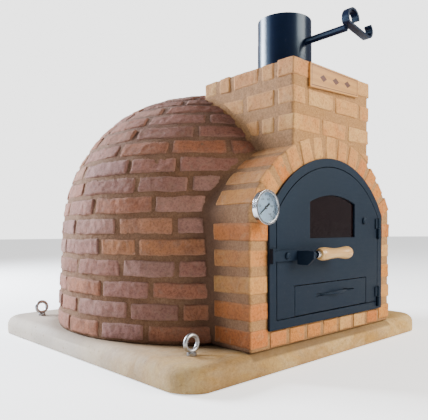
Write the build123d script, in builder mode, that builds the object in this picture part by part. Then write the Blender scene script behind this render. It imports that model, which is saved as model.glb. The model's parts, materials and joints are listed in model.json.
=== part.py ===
from build123d import *
import math
import os

# Domed, brick-clad, wood fired pizza oven on a cast slab.
# Millimetres. The origin is the middle of the slab's underside, +Z up, and the door faces -Y.
os.makedirs("parts", exist_ok=True)

# ------------------------------------------------------------------ driving dimensions
SLAB_WIDTH = 1000
SLAB_DEPTH = 982
SLAB_HEIGHT = 56
SLAB_CORNER_RADIUS = 75
SLAB_EDGE_RADIUS = 28

OVEN_X = -7  # centre plane of the dome, porch and door
FRONT_Y = -481  # brick face of the porch and stack
BRICK_HEIGHT = 40
BRICK_LENGTH = 145
JOINT = 12
MORTAR_RECESS = 4

DOME_FOOT_RADIUS = 472
DOME_WAIST_RADIUS = 458
DOME_WAIST_HEIGHT = 266
DOME_TOP = 748
DOME_POWER = 2.2  # 2 is an ellipse, more is squarer
SKIN = 22  # brick slips and the mortar between them
SHELL = 25
BLANKET = 25
REFRACTORY = 40

HEARTH_BOARD_TOP = 82
HEARTH_TOP = 112
HEARTH_RADIUS = 354
HEARTH_TILE = 230

ARCH_CENTRE_Z = 221  # every arch of the front is struck about this height
PORCH_HALF_WIDTH = 307
PORCH_RADIUS = 347
PORCH_WALL = 64
PORCH_BRICK_DEPTH = 60
PORCH_BRICK_RUN = 118
PIER_PITCH = 60
VOUSSOIR_COUNT = 13
VOUSSOIR_WIDTH = 42
SILL_TOP = 100
SILL_COUNT = 7

STACK_X = 8
STACK_HALF_WIDTH = 170
STACK_DEPTH = 315
STACK_TOP = 738
STACK_COURSE = 65.5
STACK_BRICK_DEPTH = 50

FLUE_Y = -315
FLUE_RADIUS = 75
FLUE_WALL = 2
FLUE_FOOT = 640
FLUE_TOP = 908
SPIGOT_FOOT = 848  # the pipe narrows above this to enter a socket
SPIGOT_RADIUS = 74.4
DAMPER_Z = 838
DAMPER_ROD_RADIUS = 9
RUNNING_GAP = 0.05

FRAME_HALF_WIDTH = 250
FRAME_RADIUS = 290
FRAME_PLATE = 6
FRAME_DEPTH = 60
FRAME_OPENING = 226
LEAF_HALF_WIDTH = 224
LEAF_RADIUS = 267
LEAF_FOOT = 123
LEAF_THICKNESS = 5.5
HINGE_X = 220
HINGE_Y = -489
HINGE_RADIUS = 6
HINGE_PIN_RADIUS = 3.5
HINGE_KNUCKLE = 28
HINGE_FEET = (108, 304)

WINDOW_X = -5
WINDOW_HALF_WIDTH = 101
WINDOW_FOOT = 309
WINDOW_CORNER = 398
WINDOW_CROWN = 418

DRAWER_X = -5
DRAWER_WIDTH = 320
DRAWER_TOP = 195
DRAWER_TRAY_DEPTH = 110
DRAWER_TRAY_HEIGHT = 48

LATCH_X = -204
LATCH_Z = 270
GRIP_Y = -531
GRIP_START = -130
GRIP_END = -1

THERMOMETER_X = -288
THERMOMETER_Z = 378
THERMOMETER_RADIUS = 38

EYE_X = 405
EYE_FRONT_Y = -389
EYE_BACK_Y = 379
EYE_RING_RADIUS = 17.5
EYE_BAR_RADIUS = 5

PLATE_FRONT_Y = FRONT_Y - FRAME_PLATE
LEAF_BACK_Y = PLATE_FRONT_Y + LEAF_THICKNESS
DOME_AXIS = Axis((OVEN_X, 0, 0), (0, 0, 1))


# ------------------------------------------------------------------ shared shapes
def upright(y):
    """Plane facing the front at depth y: its x is X and its y is Z."""
    return Plane.XZ.offset(-y)


def save(shape, name):
    """Label a finished piece and write its file."""
    shape.label = name
    export_step(shape, f"parts/{name}.step")


def save_group(pieces, name):
    """Write several separate solids as one node."""
    save(Compound(children=[solid for piece in pieces for solid in piece.solids()]), name)


def trim(piece, *cutters):
    """The piece with every cutter taken away."""
    with BuildPart() as trimmed:
        add(piece)
        for cutter in cutters:
            add(cutter, mode=Mode.SUBTRACT)
    return trimmed.part


def arch_face(half_width, radius, foot):
    """Face with upright sides under an arc struck about the arch centre."""
    spring = ARCH_CENTRE_Z + math.sqrt(radius**2 - half_width**2)
    left = OVEN_X - half_width
    right = OVEN_X + half_width
    with BuildLine() as outline:
        Polyline((left, spring), (left, foot), (right, foot), (right, spring))
        ThreePointArc((left, spring), (OVEN_X, ARCH_CENTRE_Z + radius), (right, spring))
    return make_face(outline.edges(), mode=Mode.PRIVATE)


def arch_block(half_width, radius, foot, front, back):
    """Solid of an arch face between two depths."""
    with BuildPart() as block:
        with BuildSketch(upright(front)):
            add(arch_face(half_width, radius, foot))
        extrude(amount=front - back)
    return block.part


def box_between(low, high):
    """Box from its lowest to its highest corner."""
    size = [high[i] - low[i] for i in range(3)]
    middle = [(high[i] + low[i]) / 2 for i in range(3)]
    return Pos(*middle) * Box(*size, mode=Mode.PRIVATE)


def rod_along_y(radius, x, z, front, back):
    """Round bar from depth front to depth back."""
    with BuildPart() as rod:
        with BuildSketch(upright(front)):
            with Locations((x, z)):
                Circle(radius)
        extrude(amount=front - back)
    return rod.part


def dome_point(station, inset):
    """Radius and height of the dome's outline: 0 to 1 climbs the wall, 1 to 2 the crown."""
    waist = DOME_WAIST_RADIUS - inset
    if station <= 1:
        foot = DOME_FOOT_RADIUS - inset
        height = SLAB_HEIGHT + (DOME_WAIST_HEIGHT - SLAB_HEIGHT) * station
        return foot + (waist - foot) * station, height
    angle = (station - 1) * math.pi / 2
    rise = DOME_TOP - inset - DOME_WAIST_HEIGHT
    radius = waist * max(math.cos(angle), 0) ** (2 / DOME_POWER)
    return radius, DOME_WAIST_HEIGHT + rise * math.sin(angle) ** (2 / DOME_POWER)


def stations_along_dome(spacing):
    """Stations a given distance apart along the outline, from the foot to the crown."""
    step = 0.001
    stations = [0.0]
    travelled = 0.0
    for tick in range(1, int(2 / step) + 1):
        start = dome_point((tick - 1) * step, 0)
        travelled += math.dist(start, dome_point(tick * step, 0))
        if travelled >= spacing:
            stations.append(tick * step)
            travelled = 0.0
    return stations


def dome_layer(outer_inset, inner_inset=None):
    """Layer of the dome between two insets, or the filled dome if there is no inner one."""
    outer = [dome_point(station, outer_inset) for station in COURSES + [2]]
    if inner_inset is None:
        inner = [(0, SLAB_HEIGHT)]
    else:
        inner = [dome_point(station, inner_inset) for station in reversed(COURSES + [2])]
    with BuildPart() as layer:
        with BuildSketch(Plane.XZ.move(Pos(OVEN_X, 0, 0))):
            Polygon(*outer, *inner, align=None)
        revolve(axis=DOME_AXIS)
    return layer.part


def dome_sector(course, low_share, high_share, outer_inset, start, sweep):
    """Part of a course's skin between two shares of its height and two angles about the axis."""
    corners = []
    for inset, share in (
        (outer_inset, low_share),
        (outer_inset, high_share),
        (SKIN, high_share),
        (SKIN, low_share),
    ):
        low = dome_point(COURSES[course], inset)
        high = dome_point(COURSES[course + 1], inset)
        corners.append(tuple(a + (b - a) * share for a, b in zip(low, high)))
    turn = math.radians(start)
    across = Plane(
        origin=(OVEN_X, 0, 0),
        x_dir=(math.cos(turn), math.sin(turn), 0),
        z_dir=(math.sin(turn), -math.cos(turn), 0),
    )
    with BuildPart() as sector:
        with BuildSketch(across):
            Polygon(*corners, align=None)
        revolve(axis=DOME_AXIS, revolution_arc=sweep)
    return sector.part


COURSES = stations_along_dome(BRICK_HEIGHT + JOINT)
BED_SHARE = JOINT / (BRICK_HEIGHT + JOINT)

# ------------------------------------------------------------------ envelopes and voids
dome_body = dome_layer(SKIN)
porch_envelope = arch_block(PORCH_HALF_WIDTH, PORCH_RADIUS, SLAB_HEIGHT, FRONT_Y, -150)
tunnel = arch_block(
    PORCH_HALF_WIDTH - PORCH_WALL, PORCH_RADIUS - PORCH_WALL, SLAB_HEIGHT, FRONT_Y - 20, -150
)
stack_envelope = box_between(
    (STACK_X - STACK_HALF_WIDTH, FRONT_Y, 450),
    (STACK_X + STACK_HALF_WIDTH, FRONT_Y + STACK_DEPTH, STACK_TOP),
)
with BuildPart() as flue_void:
    with BuildSketch(Plane.XY.offset(450)):
        with Locations((STACK_X, FLUE_Y)):
            Circle(FLUE_RADIUS - FLUE_WALL)
    extrude(amount=FLUE_FOOT - 450)
    with BuildSketch(Plane.XY.offset(FLUE_FOOT)):
        with Locations((STACK_X, FLUE_Y)):
            Circle(FLUE_RADIUS)
    extrude(amount=FLUE_TOP - FLUE_FOOT)
STEM_RADIUS = 4
STEM_BACK_Y = -232
stem_hole = rod_along_y(STEM_RADIUS, THERMOMETER_X, THERMOMETER_Z, FRONT_Y - 10, STEM_BACK_Y)

# ------------------------------------------------------------------ base slab and lifting eyes
EYE_PLACES = [(x, y) for x in (-EYE_X, EYE_X) for y in (EYE_FRONT_Y, EYE_BACK_Y)]
SOCKET_RADIUS = 8
SOCKET_DEPTH = 38
SHANK_RADIUS = 5
SHANK_LENGTH = 30

with BuildPart() as base_slab:
    with BuildSketch():
        RectangleRounded(SLAB_WIDTH, SLAB_DEPTH, SLAB_CORNER_RADIUS)
    extrude(amount=SLAB_HEIGHT)
    fillet(base_slab.faces().sort_by(Axis.Z)[-1].edges(), SLAB_EDGE_RADIUS)
    with BuildSketch(Plane.XY.offset(SLAB_HEIGHT)):
        with Locations(*EYE_PLACES):
            Circle(SOCKET_RADIUS)
    extrude(amount=-SOCKET_DEPTH, mode=Mode.SUBTRACT)
save(base_slab.part, "base_slab")

with BuildPart() as eye_sockets:
    with BuildSketch(Plane.XY.offset(SLAB_HEIGHT - SOCKET_DEPTH)):
        with Locations(*EYE_PLACES):
            Circle(SOCKET_RADIUS)
    extrude(amount=SOCKET_DEPTH)
    with BuildSketch(Plane.XY.offset(SLAB_HEIGHT)):
        with Locations(*EYE_PLACES):
            Circle(SHANK_RADIUS)
    extrude(amount=-SHANK_LENGTH, mode=Mode.SUBTRACT)
save(eye_sockets.part, "eye_sockets")

COLLAR_RADIUS = 11
COLLAR_HEIGHT = 7
EYE_CENTRE_Z = SLAB_HEIGHT + COLLAR_HEIGHT + EYE_RING_RADIUS + 2


def eye_bolt(x, y):
    """Ring bolt: a ring on a collar, with its shank screwed into the socket."""
    with BuildPart() as bolt:
        with BuildSketch(Plane(origin=(x, y, 0), x_dir=(1, 0, 0), z_dir=(0, -1, 0))):
            with BuildLine():
                Polyline(
                    (0, SLAB_HEIGHT - SHANK_LENGTH),
                    (SHANK_RADIUS, SLAB_HEIGHT - SHANK_LENGTH),
                    (SHANK_RADIUS, SLAB_HEIGHT),
                    (COLLAR_RADIUS, SLAB_HEIGHT),
                    (COLLAR_RADIUS, SLAB_HEIGHT + COLLAR_HEIGHT - 2),
                    (COLLAR_RADIUS - 4, SLAB_HEIGHT + COLLAR_HEIGHT),
                    (0, SLAB_HEIGHT + COLLAR_HEIGHT),
                    close=True,
                )
            make_face()
        revolve(axis=Axis((x, y, 0), (0, 0, 1)))
        with BuildSketch(Plane(origin=(x, y, EYE_CENTRE_Z))):
            with Locations((EYE_RING_RADIUS, 0)):
                Circle(EYE_BAR_RADIUS)
        revolve(axis=Axis((x, y, EYE_CENTRE_Z), (0, 1, 0)))
    return bolt.part


save_group([eye_bolt(x, y) for x, y in EYE_PLACES], "eye_bolts")

# ------------------------------------------------------------------ hearth
with BuildPart() as hearth_board:
    with BuildSketch(Plane.XY.offset(SLAB_HEIGHT)):
        with Locations((OVEN_X, 0)):
            Circle(HEARTH_RADIUS)
    extrude(amount=HEARTH_BOARD_TOP - SLAB_HEIGHT)
save(hearth_board.part, "hearth_board")

TILE_GAP = 2
with BuildPart() as hearth_tiles:
    with BuildSketch(Plane.XY.offset(HEARTH_BOARD_TOP)):
        with Locations((OVEN_X, 0)):
            Circle(HEARTH_RADIUS)
        for line in (-HEARTH_TILE / 2, HEARTH_TILE / 2):
            with Locations((OVEN_X + line, 0)):
                Rectangle(TILE_GAP, 2 * HEARTH_RADIUS, mode=Mode.SUBTRACT)
            with Locations((OVEN_X, line)):
                Rectangle(2 * HEARTH_RADIUS, TILE_GAP, mode=Mode.SUBTRACT)
    extrude(amount=HEARTH_TOP - HEARTH_BOARD_TOP)
save(hearth_tiles.part, "hearth_tiles")

THRESHOLD_FRONT = FRONT_Y + FRAME_DEPTH
THRESHOLD_HALF_WIDTH = 241
with BuildPart() as threshold_slab:
    with BuildSketch(Plane.XY.offset(SLAB_HEIGHT)):
        with Locations((OVEN_X, (THRESHOLD_FRONT - 200) / 2)):
            Rectangle(2 * THRESHOLD_HALF_WIDTH, -200 - THRESHOLD_FRONT)
        with Locations((OVEN_X, 0)):
            Circle(HEARTH_RADIUS + 2, mode=Mode.SUBTRACT)
    extrude(amount=HEARTH_TOP - SLAB_HEIGHT)
save(threshold_slab.part, "threshold_slab")

# ------------------------------------------------------------------ dome layers, inside to outside
inset = SKIN + SHELL + BLANKET
inner_dome = trim(dome_layer(inset, inset + REFRACTORY), tunnel, flue_void.part, stem_hole)
save(inner_dome, "inner_dome")
insulation_blanket = trim(dome_layer(SKIN + SHELL, inset), tunnel, flue_void.part, stem_hole)
save(insulation_blanket, "insulation_blanket")
dome_shell = trim(dome_layer(SKIN, SKIN + SHELL), tunnel, flue_void.part, stem_hole)
save(dome_shell, "dome_shell")

# ------------------------------------------------------------------ dome bricks and their mortar
MIN_BRICK_SHARE = 0.25


def meeting_angle(course):
    """Where a course runs into the left side of the porch or stack, in degrees about the dome axis."""
    radius, height = dome_point((COURSES[course] + COURSES[course + 1]) / 2, 0)
    rise = max(height - ARCH_CENTRE_Z, 0)
    porch_reach = math.sqrt(PORCH_RADIUS**2 - min(rise, PORCH_RADIUS) ** 2)
    stack_reach = STACK_HALF_WIDTH - STACK_X + OVEN_X
    reach = min(PORCH_HALF_WIDTH, max(porch_reach, stack_reach))
    return 180 + math.degrees(math.acos(min(reach / radius, 1)))


def course_bricks(course):
    """Bricks of one course, less what the porch and stack take the place of."""
    radius = dome_point((COURSES[course] + COURSES[course + 1]) / 2, 0)[0]
    count = max(5, round(2 * math.pi * radius / (BRICK_LENGTH + JOINT)))
    gap = math.degrees(JOINT / radius)
    first = meeting_angle(course) + gap / 2 - 360 / count * (course % 2) / 2
    starts = [
        first + 360 / count * (k + (0.13 * math.sin(2.4 * k + 1.9 * course) if k else 0))
        for k in range(count + 1)
    ]
    starts[count] = starts[0] + 360
    bricks = []
    for start, end in zip(starts, starts[1:]):
        sweep = end - start - gap
        brick = dome_sector(course, BED_SHARE / 2, 1 - BED_SHARE / 2, 0, start + gap / 2, sweep)
        whole = brick.volume
        if brick.bounding_box().min.Y < FRONT_Y + STACK_DEPTH:
            brick = trim(brick, porch_envelope, stack_envelope)
        largest = max(brick.solids(), key=lambda solid: solid.volume, default=None)
        if largest is not None and largest.volume > MIN_BRICK_SHARE * whole:
            bricks.append(largest)
    return bricks


dome_brick_solids = []
dome_mortar_solids = []
for course in range(len(COURSES) - 2):
    bricks = course_bricks(course)
    bed_ring = dome_sector(course, 0, 1, MORTAR_RECESS, 0, 360)
    mortar = trim(bed_ring, porch_envelope, stack_envelope, *bricks)
    dome_brick_solids += bricks
    dome_mortar_solids += [solid for solid in mortar.solids() if solid.volume > 50]
with BuildPart() as crown:
    with BuildSketch(Plane.XZ.move(Pos(OVEN_X, 0, 0))):
        Polygon(
            dome_point(COURSES[-2], MORTAR_RECESS),
            dome_point(COURSES[-1], MORTAR_RECESS),
            dome_point(2, MORTAR_RECESS),
            dome_point(2, SKIN),
            dome_point(COURSES[-1], SKIN),
            dome_point(COURSES[-2], SKIN),
            align=None,
        )
    revolve(axis=DOME_AXIS)
dome_mortar_solids += crown.part.solids()
save_group(dome_brick_solids, "dome_bricks")
save_group(dome_mortar_solids, "dome_mortar")

# ------------------------------------------------------------------ porch masonry
porch_cutters = [dome_body, flue_void.part, stem_hole]


def porch_block(x, z, width, height, turn=0.0):
    """Porch brick centred at x and z on the front face, running back to the dome."""
    with BuildPart() as block:
        with BuildSketch(upright(FRONT_Y)):
            with Locations((x, z)):
                Rectangle(width, height, rotation=turn)
        extrude(amount=-PORCH_BRICK_RUN)
    return trim(block.part, *porch_cutters)


pier_middle = PORCH_HALF_WIDTH - PORCH_BRICK_DEPTH / 2
pier_bricks = [
    porch_block(
        OVEN_X + side * pier_middle,
        SLAB_HEIGHT + (PIER_PITCH - BRICK_HEIGHT) / 2 + BRICK_HEIGHT / 2 + PIER_PITCH * row,
        PORCH_BRICK_DEPTH,
        BRICK_HEIGHT,
    )
    for side in (-1, 1)
    for row in range(5)
]
save_group(pier_bricks, "pier_bricks")

voussoir_radius = PORCH_RADIUS - 1 - PORCH_BRICK_DEPTH / 2
spring_angle = math.degrees(math.acos(PORCH_HALF_WIDTH / PORCH_RADIUS))
voussoir_pitch = (180 - 2 * spring_angle) / VOUSSOIR_COUNT
arch_bricks = []
for k in range(VOUSSOIR_COUNT):
    angle = spring_angle + voussoir_pitch * (k + 0.5)
    arch_bricks.append(
        porch_block(
            OVEN_X + voussoir_radius * math.cos(math.radians(angle)),
            ARCH_CENTRE_Z + voussoir_radius * math.sin(math.radians(angle)),
            PORCH_BRICK_DEPTH,
            VOUSSOIR_WIDTH,
            angle,
        )
    )
save_group(arch_bricks, "arch_bricks")

SILL_PITCH = 70
SILL_BRICK_WIDTH = 58
sill_bricks = [
    box_between(
        (OVEN_X + SILL_PITCH * k - SILL_BRICK_WIDTH / 2, FRONT_Y, SLAB_HEIGHT + 4),
        (OVEN_X + SILL_PITCH * k + SILL_BRICK_WIDTH / 2, THRESHOLD_FRONT, SILL_TOP - 4),
    )
    for k in range(-(SILL_COUNT // 2), SILL_COUNT // 2 + 1)
]
save_group(sill_bricks, "sill_bricks")

masonry_opening = arch_block(
    PORCH_HALF_WIDTH - PORCH_WALL, PORCH_RADIUS - PORCH_WALL, SILL_TOP, FRONT_Y - 20, THRESHOLD_FRONT
)
with BuildPart() as porch_mortar:
    add(
        arch_block(
            PORCH_HALF_WIDTH - MORTAR_RECESS,
            PORCH_RADIUS - MORTAR_RECESS,
            SLAB_HEIGHT,
            FRONT_Y + MORTAR_RECESS,
            -150,
        )
    )
    add(masonry_opening, mode=Mode.SUBTRACT)
    with BuildSketch(upright(THRESHOLD_FRONT)):
        add(arch_face(PORCH_HALF_WIDTH - PORCH_WALL, PORCH_RADIUS - PORCH_WALL, SLAB_HEIGHT))
    extrude(amount=THRESHOLD_FRONT + 150, mode=Mode.SUBTRACT)
    for cutter in [*porch_cutters, *pier_bricks, *arch_bricks, *sill_bricks]:
        add(cutter, mode=Mode.SUBTRACT)
save(porch_mortar.part, "porch_mortar")

# ------------------------------------------------------------------ chimney stack
stack_cutters = [dome_body, porch_envelope, flue_void.part]
stack_left = STACK_X - STACK_HALF_WIDTH
stack_right = STACK_X + STACK_HALF_WIDTH
stack_back = FRONT_Y + STACK_DEPTH


def split_run(start, end, count, shifted):
    """Brick spans between two ends, with a joint between each, and half bricks when shifted."""
    pitch = (end - start + JOINT) / count
    edges = [start + pitch * k for k in range(count + 1)]
    if shifted:
        edges = [start] + [edge + pitch / 2 for edge in edges[:-1]] + [end + JOINT]
    return [(low, high - JOINT) for low, high in zip(edges, edges[1:])]


stack_brick_solids = []
for course in range(4):
    top = STACK_TOP - STACK_COURSE * course
    shifted = course % 2 == 1
    inner_front = FRONT_Y + STACK_BRICK_DEPTH
    inner_back = stack_back - STACK_BRICK_DEPTH
    boxes = []
    for low, high in split_run(stack_left, stack_right, 3, shifted):
        boxes.append(((low, FRONT_Y), (high, inner_front)))
        boxes.append(((low, inner_back), (high, stack_back)))
    for low, high in split_run(inner_front + JOINT, inner_back - JOINT, 2, not shifted):
        boxes.append(((stack_left, low), (stack_left + STACK_BRICK_DEPTH, high)))
        boxes.append(((stack_right - STACK_BRICK_DEPTH, low), (stack_right, high)))
    for (x0, y0), (x1, y1) in boxes:
        block = box_between((x0, y0, top - BRICK_HEIGHT), (x1, y1, top))
        whole = block.volume
        brick = trim(block, *stack_cutters)
        largest = max(brick.solids(), key=lambda solid: solid.volume, default=None)
        if largest is not None and largest.volume > MIN_BRICK_SHARE * whole:
            stack_brick_solids.append(largest)
save_group(stack_brick_solids, "stack_bricks")

stack_mortar = trim(
    box_between(
        (stack_left + MORTAR_RECESS, FRONT_Y + MORTAR_RECESS, 450),
        (stack_right - MORTAR_RECESS, stack_back - MORTAR_RECESS, STACK_TOP),
    ),
    *stack_cutters,
    *stack_brick_solids,
)
save_group([max(stack_mortar.solids(), key=lambda solid: solid.volume)], "stack_mortar")

# ------------------------------------------------------------------ flue pipe and damper
rod_hole = rod_along_y(DAMPER_ROD_RADIUS + RUNNING_GAP, STACK_X, DAMPER_Z, FLUE_Y - 90, FLUE_Y + 90)
with BuildPart() as flue_pipe:
    with BuildSketch(Plane(origin=(STACK_X, FLUE_Y, 0), x_dir=(1, 0, 0), z_dir=(0, -1, 0))):
        Polygon(
            (FLUE_RADIUS - FLUE_WALL, FLUE_FOOT),
            (FLUE_RADIUS, FLUE_FOOT),
            (FLUE_RADIUS, SPIGOT_FOOT - 2),
            (SPIGOT_RADIUS, SPIGOT_FOOT),
            (SPIGOT_RADIUS, FLUE_TOP),
            (FLUE_RADIUS - FLUE_WALL, FLUE_TOP),
            align=None,
        )
    revolve(axis=Axis((STACK_X, FLUE_Y, 0), (0, 0, 1)))
    add(rod_hole, mode=Mode.SUBTRACT)
save(flue_pipe.part, "flue_pipe")

SCROLL_FRONT = -534
SCROLL_WIDTH = 20
SCROLL_THICKNESS = 6
DAMPER_PLATE_RADIUS = 70
DAMPER_PLATE = 3
DAMPER_SCREW_RADIUS = 2.5
plate_x = STACK_X + DAMPER_ROD_RADIUS


def damper_screw(y):
    """Screw through the plate into the rod."""
    with BuildPart() as screw:
        with BuildSketch(Plane.YZ.offset(plate_x - 8)):
            with Locations((y, DAMPER_Z)):
                Circle(DAMPER_SCREW_RADIUS)
        extrude(amount=8 + DAMPER_PLATE)
        with BuildSketch(Plane.YZ.offset(plate_x + DAMPER_PLATE)):
            with Locations((y, DAMPER_Z)):
                Circle(2 * DAMPER_SCREW_RADIUS)
        extrude(amount=3)
    return screw.part


damper_screws = [damper_screw(FLUE_Y - 35), damper_screw(FLUE_Y + 35)]
save_group(damper_screws, "damper_screws")

with BuildPart() as damper_rod:
    add(
        rod_along_y(
            DAMPER_ROD_RADIUS, STACK_X, DAMPER_Z, SCROLL_FRONT + SCROLL_WIDTH, FLUE_Y + FLUE_RADIUS + 8
        )
    )
    for screw in damper_screws:
        add(screw, mode=Mode.SUBTRACT)
save(damper_rod.part, "damper_rod")

with BuildPart() as damper_plate:
    with BuildSketch(Plane.YZ.offset(plate_x)):
        with Locations((FLUE_Y, DAMPER_Z)):
            Circle(DAMPER_PLATE_RADIUS)
    extrude(amount=DAMPER_PLATE)
    for screw in damper_screws:
        add(screw, mode=Mode.SUBTRACT)
save(damper_plate.part, "damper_plate")

# The scroll is a flat bar with a curl at each end. Its big curl turns sharply into the straight run.
BIG_CURL = (5, 19)
BIG_CURL_RADIUS = 23.5
BEND_RADIUS = 8
BEND_START = 200
RUN_START = 261
SMALL_CURL = (77.7, 9)
SMALL_CURL_RADIUS = 17
bend_inset = BIG_CURL_RADIUS - BEND_RADIUS
bend = (
    BIG_CURL[0] + bend_inset * math.cos(math.radians(BEND_START)),
    BIG_CURL[1] + bend_inset * math.sin(math.radians(BEND_START)),
)
with BuildLine() as scroll_path:
    CenterArc(BIG_CURL, BIG_CURL_RADIUS, 0, BEND_START)
    sharp = CenterArc(bend, BEND_RADIUS, BEND_START, RUN_START - BEND_START)
    small = CenterArc(SMALL_CURL, SMALL_CURL_RADIUS, RUN_START, 161)
    Line(sharp @ 1, small @ 0)
scroll_face = trace(scroll_path.line, SCROLL_THICKNESS, mode=Mode.PRIVATE)
with BuildPart() as damper_scroll:
    with BuildSketch(upright(SCROLL_FRONT)):
        with Locations((STACK_X, DAMPER_Z)):
            add(scroll_face.faces())
    extrude(amount=-SCROLL_WIDTH)
save(damper_scroll.part, "damper_scroll")

# ------------------------------------------------------------------ plaque
PLAQUE_CORNERS = ((-104, 735.5), (112, 735.5), (111, 688), (-105, 676))
PLAQUE_THICKNESS = 6
with BuildPart() as plaque:
    with BuildSketch(upright(FRONT_Y)):
        Polygon(*PLAQUE_CORNERS, align=None)
    extrude(amount=PLAQUE_THICKNESS)
    fillet(plaque.faces().sort_by(Axis.Y)[0].edges(), 1.2)
save(plaque.part, "plaque")

# ------------------------------------------------------------------ door frame
HINGE_NOTCH = HINGE_RADIUS + 1
hinge_notches = [
    box_between(
        (HINGE_X - HINGE_NOTCH, PLATE_FRONT_Y - 10, foot - 1),
        (HINGE_X + HINGE_NOTCH, FRONT_Y, foot + 2 * HINGE_KNUCKLE + 1.5),
    )
    for foot in HINGE_FEET
]
SLEEVE_HALF_WIDTH = 241
SLEEVE_RADIUS = 281
STOP_HALF_WIDTH = 218
STOP_RADIUS = 261
STOP_THICKNESS = 4
FRAME_FOOT = 100
with BuildPart() as door_frame:
    with BuildSketch(upright(FRONT_Y)):
        add(arch_face(FRAME_HALF_WIDTH, FRAME_RADIUS, FRAME_FOOT))
    extrude(amount=FRAME_PLATE)
    with BuildSketch(upright(PLATE_FRONT_Y)):
        add(arch_face(FRAME_OPENING, LEAF_RADIUS + 2, LEAF_FOOT - 2))
    extrude(amount=-FRAME_PLATE, mode=Mode.SUBTRACT)
    with BuildSketch(upright(FRONT_Y)):
        add(arch_face(SLEEVE_HALF_WIDTH, SLEEVE_RADIUS, FRAME_FOOT))
    extrude(amount=-FRAME_DEPTH)
    with BuildSketch(upright(FRONT_Y)):
        add(arch_face(STOP_HALF_WIDTH, STOP_RADIUS, LEAF_FOOT - 5))
    extrude(amount=-FRAME_DEPTH, mode=Mode.SUBTRACT)
    with BuildSketch(upright(FRONT_Y + STOP_THICKNESS)):
        add(arch_face(SLEEVE_HALF_WIDTH - 4, SLEEVE_RADIUS - 4, FRAME_FOOT + 5))
    extrude(amount=-FRAME_DEPTH, mode=Mode.SUBTRACT)
    for notch in hinge_notches:
        add(notch, mode=Mode.SUBTRACT)
save(door_frame.part, "door_frame")

# ------------------------------------------------------------------ door leaf and window


def window_face(grow):
    """Window outline, let out by grow."""
    left = WINDOW_X - WINDOW_HALF_WIDTH - grow
    right = WINDOW_X + WINDOW_HALF_WIDTH + grow
    corner = WINDOW_CORNER + grow
    foot = WINDOW_FOOT - grow
    with BuildLine() as outline:
        Polyline((left, corner), (left, foot), (right, foot), (right, corner))
        ThreePointArc((left, corner), (WINDOW_X, WINDOW_CROWN + grow), (right, corner))
    return make_face(outline.edges(), mode=Mode.PRIVATE)


GLASS = 4
RETAINER = 3
GLASS_LAP = 10
RETAINER_LAP = 24
SCREW_RADIUS = 2
screw_reach = (GLASS_LAP + RETAINER_LAP) / 2
screw_places = [
    (WINDOW_X + side * x, z)
    for side in (-1, 1)
    for x, z in (
        (WINDOW_HALF_WIDTH + screw_reach, WINDOW_FOOT - screw_reach + 4),
        (WINDOW_HALF_WIDTH + screw_reach, WINDOW_CORNER),
        (WINDOW_HALF_WIDTH / 2, WINDOW_FOOT - screw_reach),
    )
]
glass_back = LEAF_BACK_Y + GLASS
retainer_back = glass_back + RETAINER

retainer_screws = []
for x, z in screw_places:
    with BuildPart() as screw:
        with BuildSketch(upright(LEAF_BACK_Y - 3)):
            with Locations((x, z)):
                Circle(SCREW_RADIUS)
        extrude(amount=-(retainer_back - LEAF_BACK_Y + 3))
        with BuildSketch(upright(retainer_back)):
            with Locations((x, z)):
                Circle(SCREW_RADIUS + 1.5)
        extrude(amount=-2.5)
    retainer_screws.append(screw.part)
save_group(retainer_screws, "retainer_screws")

PIVOT_RADIUS = 5
BLANKING_X = 144
BLANKING_Z = 354
BLANKING_RADIUS = 4
pivot_hole = rod_along_y(PIVOT_RADIUS, LATCH_X, LATCH_Z, -520, -440)
blanking_hole = rod_along_y(BLANKING_RADIUS, BLANKING_X, BLANKING_Z, -520, -440)
with BuildPart() as door_leaf:
    with BuildSketch(upright(LEAF_BACK_Y)):
        add(arch_face(LEAF_HALF_WIDTH, LEAF_RADIUS, LEAF_FOOT))
        with Locations((DRAWER_X, (LEAF_FOOT + DRAWER_TOP) / 2)):
            Rectangle(DRAWER_WIDTH + 4, DRAWER_TOP - LEAF_FOOT + 4, mode=Mode.SUBTRACT)
    extrude(amount=LEAF_THICKNESS)
    with BuildSketch(upright(LEAF_BACK_Y)):
        add(window_face(0))
    extrude(amount=LEAF_THICKNESS, mode=Mode.SUBTRACT)
    for cutter in [*retainer_screws, pivot_hole, blanking_hole, *hinge_notches]:
        add(cutter, mode=Mode.SUBTRACT)
save(door_leaf.part, "door_leaf")

with BuildPart() as window_glass:
    with BuildSketch(upright(LEAF_BACK_Y)):
        add(window_face(GLASS_LAP))
    extrude(amount=-GLASS)
save(window_glass.part, "window_glass")

with BuildPart() as window_retainer:
    with BuildSketch(upright(LEAF_BACK_Y)):
        add(window_face(RETAINER_LAP))
    extrude(amount=-(GLASS + RETAINER))
    with BuildSketch(upright(LEAF_BACK_Y)):
        add(window_face(GLASS_LAP))
    extrude(amount=-GLASS, mode=Mode.SUBTRACT)
    with BuildSketch(upright(LEAF_BACK_Y)):
        add(window_face(2))
    extrude(amount=-(GLASS + RETAINER), mode=Mode.SUBTRACT)
    for screw in retainer_screws:
        add(screw, mode=Mode.SUBTRACT)
save(window_retainer.part, "window_retainer")

with BuildPart() as blanking_bolt:
    add(rod_along_y(BLANKING_RADIUS, BLANKING_X, BLANKING_Z, PLATE_FRONT_Y, LEAF_BACK_Y + 7))
    with BuildSketch(upright(PLATE_FRONT_Y)):
        with Locations((BLANKING_X, BLANKING_Z)):
            Circle(10)
    extrude(amount=6)
    fillet(blanking_bolt.edges().filter_by(GeomType.CIRCLE).sort_by(Axis.Y)[0], 5)
    with BuildSketch(upright(LEAF_BACK_Y)):
        with Locations((BLANKING_X, BLANKING_Z)):
            RegularPolygon(8, 6)
    extrude(amount=-6)
save(blanking_bolt.part, "blanking_bolt")

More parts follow.
